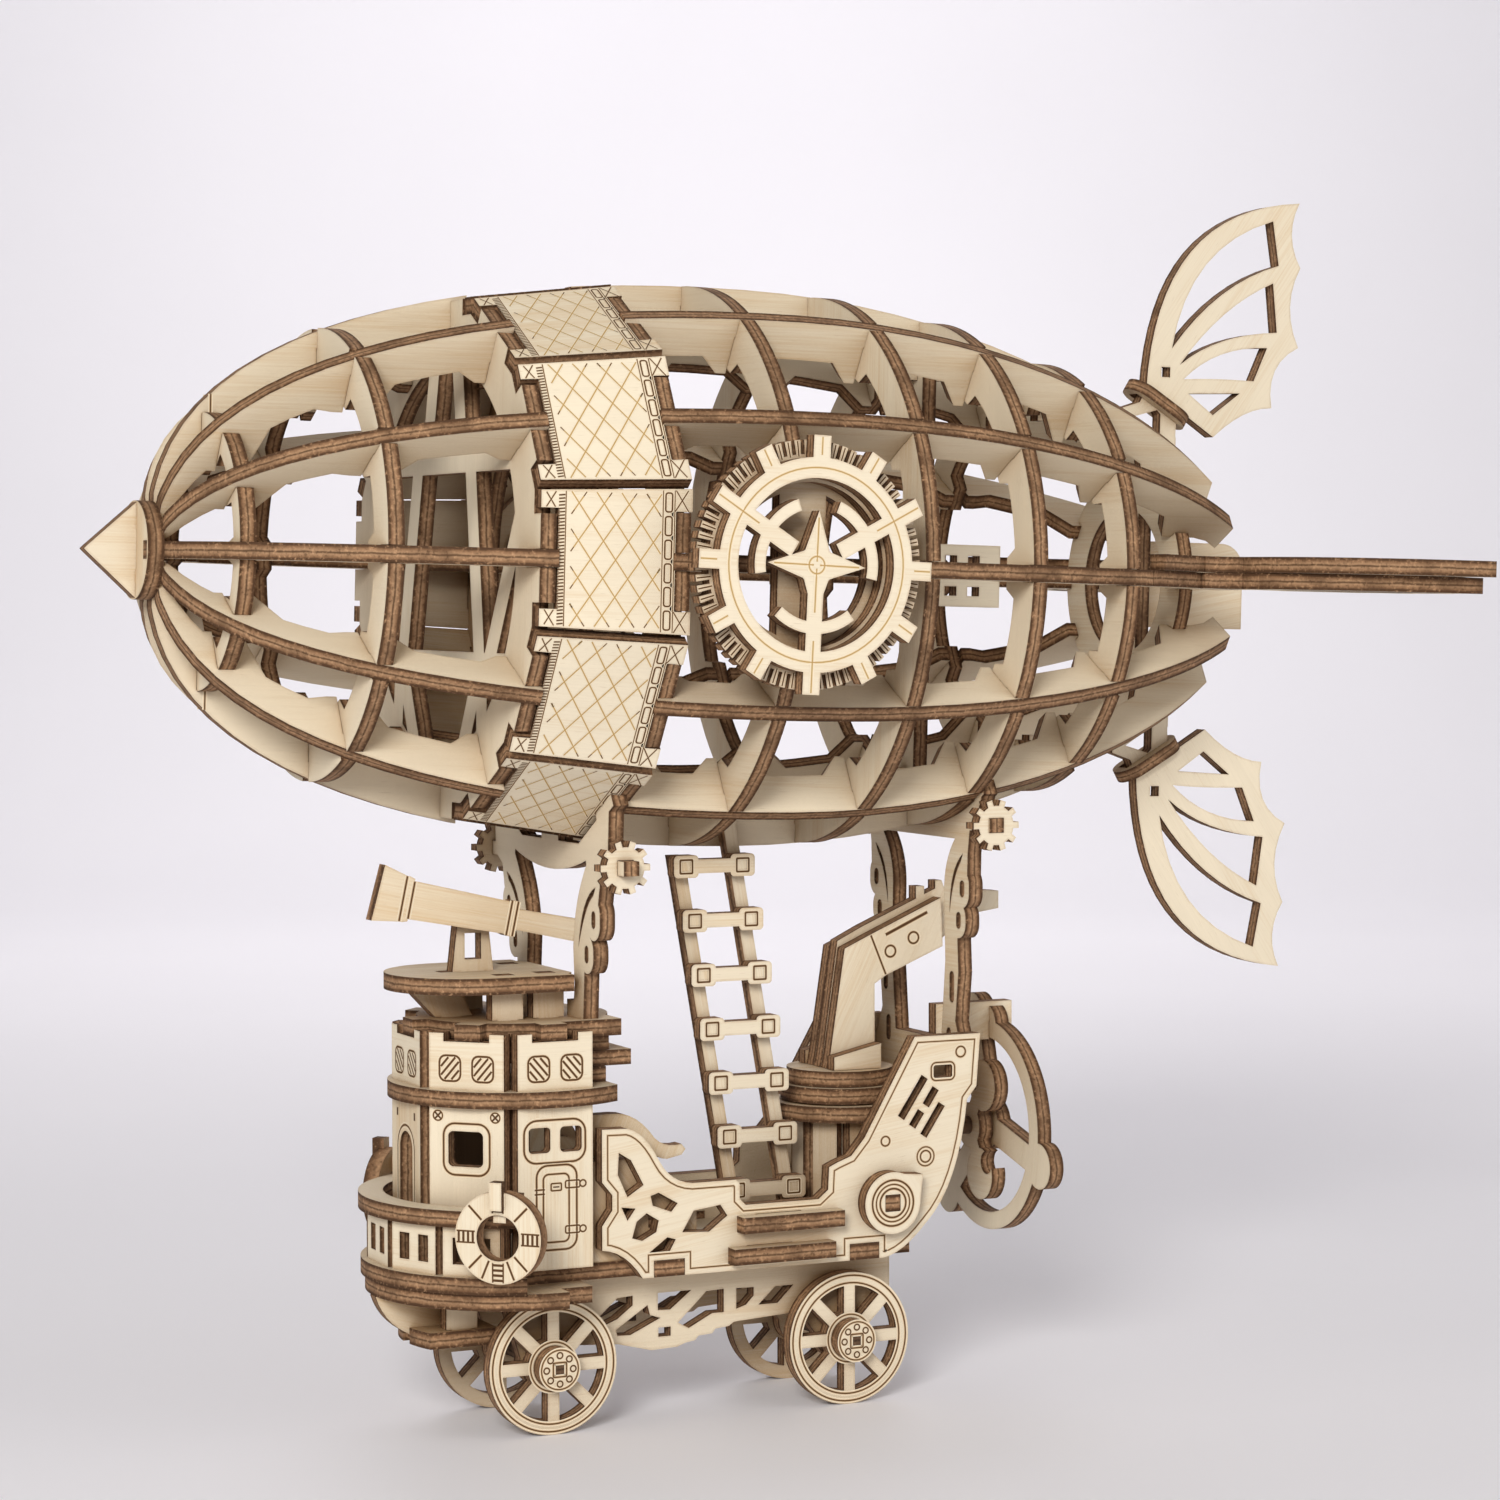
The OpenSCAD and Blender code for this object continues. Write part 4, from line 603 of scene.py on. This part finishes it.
def engrave_tabs(panel, borders):
    """A cross on each tab at the corners of the panel."""
    run, rise = 3, 4.7
    for side in (-1, 1):
        for u, v in ((1.7, panel.front_half - 1.6), (panel.length - 1.9, panel.rear_half - 2.1)):
            for lean in (-1, 1):
                a = (u - run, side * (v - rise * lean))
                b = (u + run, side * (v + rise * lean))
                cross = clipped(a, b, panel.tab)
                if cross:
                    borders.line(panel.sheet, cross, 0.18, halo=0.14)


def engrave_borders(panel, borders):
    """Lines across the panel, short ticks in front of the field and links behind it."""
    sheet, length, half = panel.sheet, panel.length, panel.half
    for u in (PLY + 1.35, length - PLY - 2.3, length - PLY - 0.2):
        borders.line(sheet, [(u, -half(u)), (u, half(u))], 0.14, halo=0.14)
    for i in range(int(2 * half(PLY) / TICK_PITCH)):
        v = -half(PLY) + 0.3 + i * TICK_PITCH
        borders.line(sheet, [(PLY + 0.1, v), (PLY + 1.2, v + 0.12)], 0.24, halo=0.08)
    links = 6
    pitch = 2 * half(length - 5) / links
    for i in range(links):
        v = -half(length - 5) + pitch * (i + 0.5)
        u = length - PLY - 1.25
        link = soft_box(u - 0.6, v - pitch * 0.4, u + 0.6, v + pitch * 0.4, 0.4)
        borders.line(sheet, link, 0.24, True, 0.15)


# Stringers and emblem

def engrave_stringers():
    """A short mark where each cross ring meets the upper and lower stringer."""
    marks = Engraving("stringer_marks", "airship", "hull_ply", ENGRAVED_DARK)
    for side in (-1, 1):
        sheet = Sheet(Vector(HULL_MID) + Vector((0, side * PLY / 2, 0)), HULL_X * -side, HULL_Z)
        for s in RING_STATIONS:
            r = hull_radius(s)
            for sign in (-1, 1):
                marks.line(sheet, [(-side * s, sign * (r - 3.4)), (-side * s, sign * (r - 0.15))], 0.22)
    marks.make()


def engrave_emblems():
    """Ring line, a line on each tooth and arm, a compass cross, and hatching on the gear behind."""
    lines = Engraving("emblem_lines", "airship", "trim_ply")
    hatch = Engraving("emblem_hatch", "airship", "trim_ply", ENGRAVED_DARK)
    centre = Vector(HULL_MID) + HULL_X * EMBLEM_X
    for side in (-1, 1):
        sheet = Sheet((centre.x, outer_y("emblem_rings", side), centre.z), HULL_X * -side, HULL_Z)
        behind = Sheet((centre.x, outer_y("emblem_backs", side), centre.z), HULL_X * -side, HULL_Z)
        for t in turns(EMBLEM_GEAR_TEETH):
            hatch.line(behind, spoke(t + math.pi / EMBLEM_GEAR_TEETH, *EMBLEM_HATCH), 0.22, halo=0.14)
        lines.circle(sheet, 0, 0, EMBLEM_RING - 1.8, 0.2, 72)
        for k, t in enumerate(turns(12)):
            inner = EMBLEM_RING - 5.5 if k in EMBLEM_ARMS else EMBLEM_RING + 0.4
            lines.line(sheet, spoke(t + side * EMBLEM_TURN, inner, EMBLEM_RING + 3.5), 0.2)
        for t in turns(4):
            lines.line(sheet, spoke(t + side * EMBLEM_TURN, 0.6, 8.2), 0.2)
        lines.circle(sheet, 0, 0, 1.5, 0.2, 24)
    lines.make()
    hatch.make()


# Gondola

def engrave_side_panels():
    """Border line, rings and a plate on each side panel, and rings on its cam."""
    lines = Engraving("side_panel_lines", "airship", "gondola_ply", ENGRAVED_DARK)
    rings = Engraving("side_panel_rings", "airship", "gondola_ply", ENGRAVED_DARK)
    plate_x, plate_half, plate_low, plate_high = 33.6, 2.5, 61.2, 64.6
    for node, side in (("side_panel_left", -1), ("side_panel_right", 1)):
        sheet = side_sheet(outer_y(node, side), side)
        border = [(-side * p[0], p[2]) for p in face_loop(node, (0, side, 0))]
        lines.line(sheet, inset(border, 1.1), 0.18, True)
        for x, z, r in ((37.4, 66.4, 1.0), (21.4, 50.4, 0.9), (29.9, 47.0, 1.1)):
            rings.circle(sheet, -side * x, z, r, 0.24, 24)
        rings.circle(sheet, -side * 29.9, 47.0, 1.8, 0.2, 28)
        middle = -side * plate_x
        plate = soft_box(middle - plate_half, plate_low, middle + plate_half, plate_high, 1.0)
        rings.line(sheet, plate, 0.22, True)
        cam = side_sheet(outer_y("side_cams", side), side)
        for r, width in ((2.7, 0.3), (3.5, 0.22), (4.3, 0.3)):
            rings.circle(cam, -side * CAM[0], CAM[1], r, width)
    lines.make()
    rings.make()


def engrave_cabin():
    frames = Engraving("cabin_frames", "airship", "gondola_ply", ENGRAVED_DARK)
    for normal, points in outward_sheets("cabin_panels", tower_axis):
        sheet = upright_sheet(normal, points[0])
        if abs(normal.y) > 0.9:
            engrave_door(frames, sheet)
        elif abs(normal.x) > 0.9:
            engrave_archway(frames, sheet)
        else:
            engrave_window(frames, sheet)
    frames.make()


def engrave_door(frames, sheet):
    """Window frame over a door with a pipe round it, brackets, a ring and a lock plate."""
    frames.line(sheet, soft_box(-6.1, 50.9, 5.8, 58.6, 2.4, 6), LINE, True)
    frames.line(sheet, soft_box(-3.7, 35.1, 4.1, 50.4, 2.1, 6), LINE, True)
    frames.line(sheet, soft_box(-2.4, 36.5, 2.6, 48.8, 1.0), 0.26, True)
    for z in (45.3, 46.1):
        frames.line(sheet, [(-4.1, z), (-2.1, z)], 0.26, halo=0.2)
    for z in (38.6, 46.8):
        frames.line(sheet, soft_box(1.9, z - 0.65, 4.7, z + 0.65, 0.3), 0.24, True, 0.2)
        frames.circle(sheet, 5.3, z, 0.6, 0.24, 18, 0.2)
    frames.line(sheet, soft_box(-0.9, 45.8, 1.1, 47.1, 0.2), 0.24, True, 0.2)
    frames.line(sheet, [(-0.5, 46.45), (0.7, 46.45)], 0.24, halo=0)


def engrave_archway(frames, sheet):
    """Round-topped doorway with two short marks above it."""
    half, foot_z, arch_z = 4.3, 33, 52
    arch = [(half * math.cos(t), arch_z + half * math.sin(t)) for t in np.linspace(math.pi, 0, 16)]
    frames.line(sheet, [(-half, foot_z), *arch, (half, foot_z)])
    for u in (-4.4, 4.4):
        frames.line(sheet, [(u, 57.6), (u, 59.0)], 0.7, halo=0.2)


def engrave_window(frames, sheet):
    """Window frame with a cross-headed screw at each upper corner."""
    frames.line(sheet, soft_box(-4.5, 48.7, 4.5, 58.0, 2.2, 6), LINE, True)
    screw_z, arm = 59.3, 0.55
    for u in (-5.6, 5.6):
        frames.circle(sheet, u, screw_z, 0.9, 0.22, 24, 0.2)
        for rise in (arm, -arm):
            frames.line(sheet, [(u - arm, screw_z - rise), (u + arm, screw_z + rise)], 0.34, halo=0)


def engrave_tower():
    """Two hatched shutters on each tower wall."""
    hatch = Engraving("tower_shutters", "airship", "gondola_ply", ENGRAVED_DARK)
    half_width, half_height, middle_z = 2.05, 2.3, 67.9
    for normal, points in outward_sheets("tower_panels", tower_axis):
        sheet = upright_sheet(normal, points[0])
        lean = -1 if max(abs(normal.x), abs(normal.y)) > 0.9 else 1
        for u in (-3.2, 3.2):
            frame_line = soft_box(u - half_width, middle_z - half_height,
                                  u + half_width, middle_z + half_height, 1.2)
            hatch.line(sheet, frame_line, 0.32, True, 0.25)

            def inside(x, z):
                aside, above = abs(x - u), abs(z - middle_z)
                return aside < 1.8 and above < 2.0 and aside + above < 3.3

            for k in (-1.5, -0.5, 0.5, 1.5):
                x = u + k * 1.35
                piece = clipped((x - 4, middle_z - 4.6 * lean), (x + 4, middle_z + 4.6 * lean), inside)
                if piece:
                    hatch.line(sheet, piece, 0.36, halo=0.2)
    hatch.make()


def engrave_lifebuoys():
    """Four rope wraps and six plain lines on each ring."""
    ropes = Engraving("lifebuoy_ropes", "airship", "gondola_ply", ENGRAVED_DARK)
    inner, outer = 4.4, 7.9
    for normal, points in outward_sheets("lifebuoys", tower_axis):
        middle = (points.min(0) + points.max(0)) / 2
        sheet = Sheet((middle[0], middle[1], LIFEBUOY_Z), Vector((0, 0, 1)).cross(normal), (0, 0, 1))
        for wrap in turns(4):
            for half in (-1.0, 1.0):
                ropes.line(sheet, spoke(wrap, inner, outer, aside=half), 0.26, halo=0.2)
            for r in (4.8, 5.7, 6.6, 7.5):
                ropes.line(sheet, [*spoke(wrap, r, aside=-0.9), *spoke(wrap, r, aside=0.9)], 0.42, halo=0.12)
        for degrees in (45, 135, 225, 247, 293, 315):
            ropes.line(sheet, spoke(math.radians(degrees), inner, outer), 0.34, halo=0.25)
    ropes.make()


def engrave_ladder():
    """A square line round each peg of the rungs."""
    pegs = Engraving("ladder_peg_frames", "airship", "gondola_ply", ENGRAVED_DARK)
    sheet = Sheet((0, outer_y("ladder_rungs", -1), 0), (1, 0, 0), (0, 0, 1))
    half = 1.25
    for k in range(RUNG_COUNT):
        z = FIRST_RUNG[1] + k * RUNG_PITCH
        for rail in (0, -LADDER_WIDTH):
            x = FIRST_RUNG[0] - k * RUNG_PITCH * math.tan(LADDER_LEAN) + rail
            pegs.line(sheet, soft_box(x - half, z - half, x + half, z + half, 0.1, 1), 0.3, True, 0.2)
    pegs.make()


# Moving pieces

def engrave_wheels():
    """Rings on rim and hub, and eight dots round the square end of the axle."""
    for place, x in AXLE_XS.items():
        rims = Engraving(place + "_wheel_lines", place + "_wheelset", "moving_ply", ENGRAVED_DARK)
        for side, name in ((-1, "left"), (1, "right")):
            cap = outer_y(f"wheel_{place}_{name}", side)
            rim = side_sheet(cap - side * (PLY + HUB_GAP), side, x, WHEEL_RADIUS)
            hub = side_sheet(cap, side, x, WHEEL_RADIUS)
            for r, width in ((11.9, 0.24), (10.5, 0.24), (4.5, 0.2)):
                rims.circle(rim, 0, 0, r, width, 72)
            rims.circle(hub, 0, 0, 3.6, 0.2)
            for t in turns(8):
                rims.circle(hub, *spoke(t, 2.6)[0], 0.55, 0.26, 16, 0.12)
            rims.line(hub, soft_box(-1.3, -1.3, 1.3, 1.3, 0.1, 1), 0.22, True)
        rims.make()


def engrave_crane():
    """Joint line, two bolts and a slot on each cheek of the arm."""
    lines = Engraving("crane_lines", "crane", "moving_ply", ENGRAVED_DARK)
    x, z = CRANE
    for side in (-1, 1):
        sheet = side_sheet(side * CRANE_FACE, side)

        def at(dx, dz):
            return -side * (x + dx), z + dz

        lines.line(sheet, [at(4.4, 25.2), at(7.6, 17.6)])
        for dx, dz in ((8.6, 22.0), (13.6, 24.4)):
            lines.circle(sheet, *at(dx, dz), 1.1, LINE, 24)
        lines.line(sheet, [at(7.6, 25.2), at(16.6, 29.2)], 0.5)
    lines.make()


def engrave_telescope():
    """Two pairs of bands across the tube."""
    lines = Engraving("telescope_lines", "telescope", "moving_ply", ENGRAVED_DARK)
    along = Vector((math.cos(TELESCOPE_TILT), 0, -math.sin(TELESCOPE_TILT)))
    up = Vector((math.sin(TELESCOPE_TILT), 0, math.cos(TELESCOPE_TILT)))
    for side, y in TELESCOPE_FACES.items():
        sheet = Sheet((TELESCOPE_PIN[0], y, TELESCOPE_PIN[1]), along * -side, up)
        for u, half in ((-15.0, 4.1), (-13.4, 3.4), (6.0, 3.2), (7.2, 3.2)):
            lines.line(sheet, [(-side * u, -half), (-side * u, half)])
    lines.make()


engrave_band()
engrave_stringers()
engrave_emblems()
engrave_side_panels()
engrave_cabin()
engrave_tower()
engrave_lifebuoys()
engrave_ladder()
engrave_wheels()
engrave_crane()
engrave_telescope()


# Studio

def plain_floor():
    mesh = bpy.data.meshes.new("floor")
    half, back, curve, steps = 2.4, 1.6, 0.5, 12
    profile = [(-2.4, 0.0), (back - curve, 0.0)]
    profile += [(back - curve + curve * math.sin(t), curve - curve * math.cos(t))
                for t in (math.pi / 2 * i / steps for i in range(1, steps + 1))]
    profile.append((back, 2.6))
    points = [(x, y, z) for y, z in profile for x in (-half, half)]
    quads = [(2 * i, 2 * i + 1, 2 * i + 3, 2 * i + 2) for i in range(len(profile) - 1)]
    mesh.from_pydata(points, [], quads)
    for polygon in mesh.polygons:
        polygon.use_smooth = True
    made, tree = material("pale_floor")
    place = add(tree, "ShaderNodeTexCoord").outputs["Object"]
    cloud = noise(tree, place, 3.0, 2.0)
    colour = mix(tree, remap(tree, cloud, 0.3, 0.7), (0.87, 0.865, 0.90), (0.90, 0.895, 0.93))
    finish_material(tree, colour, 0.55, cloud, 0.02)
    mesh.materials.append(made)
    floor = bpy.data.objects.new("floor", mesh)
    floor.rotation_euler = (0, 0, -math.radians(CAMERA_YAW))
    bpy.context.scene.collection.objects.link(floor)


def area_light(name, place, target, size, power, colour):
    light = bpy.data.lights.new(name, "AREA")
    light.shape = "DISK"
    light.size = size
    light.energy = power
    light.color = colour
    made = bpy.data.objects.new(name, light)
    made.location = place
    made.rotation_euler = (Vector(target) - Vector(place)).to_track_quat("-Z", "Y").to_euler()
    bpy.context.scene.collection.objects.link(made)


def studio():
    plain_floor()
    middle = (0, 0, 0.11)
    area_light("key", (-0.75, -1.0, 0.62), middle, 0.5, 14.0, (1.0, 0.98, 0.95))
    area_light("fill", (0.85, -0.75, 0.45), middle, 0.9, 2.4, (1.0, 0.97, 0.95))
    area_light("back", (0.35, 0.8, 0.8), (0.4, 1.0, 0.3), 0.8, 4.5, (1.0, 0.96, 0.98))
    world = bpy.data.worlds.new("studio")
    world.use_nodes = True
    background = world.node_tree.nodes["Background"]
    background.inputs[0].default_value = (1.0, 0.97, 0.97, 1)
    background.inputs[1].default_value = 0.29
    bpy.context.scene.world = world


def camera():
    data = bpy.data.cameras.new("camera")
    data.sensor_width = 36
    data.lens = CAMERA_LENS
    data.clip_start = 0.01
    made = bpy.data.objects.new("camera", data)
    made.location = Vector(CAMERA_POINT) * MM
    made.rotation_mode = "XYZ"
    yaw, pitch, roll = (math.radians(v) for v in (CAMERA_YAW, CAMERA_PITCH, CAMERA_ROLL))
    look = Vector((math.sin(yaw) * math.cos(pitch), math.cos(yaw) * math.cos(pitch), -math.sin(pitch)))
    made.rotation_euler = look.to_track_quat("-Z", "Y").to_euler()
    made.rotation_euler.rotate_axis("Z", roll)
    bpy.context.scene.collection.objects.link(made)
    bpy.context.scene.camera = made


studio()
camera()
bpy.context.scene.view_settings.view_transform = "Standard"
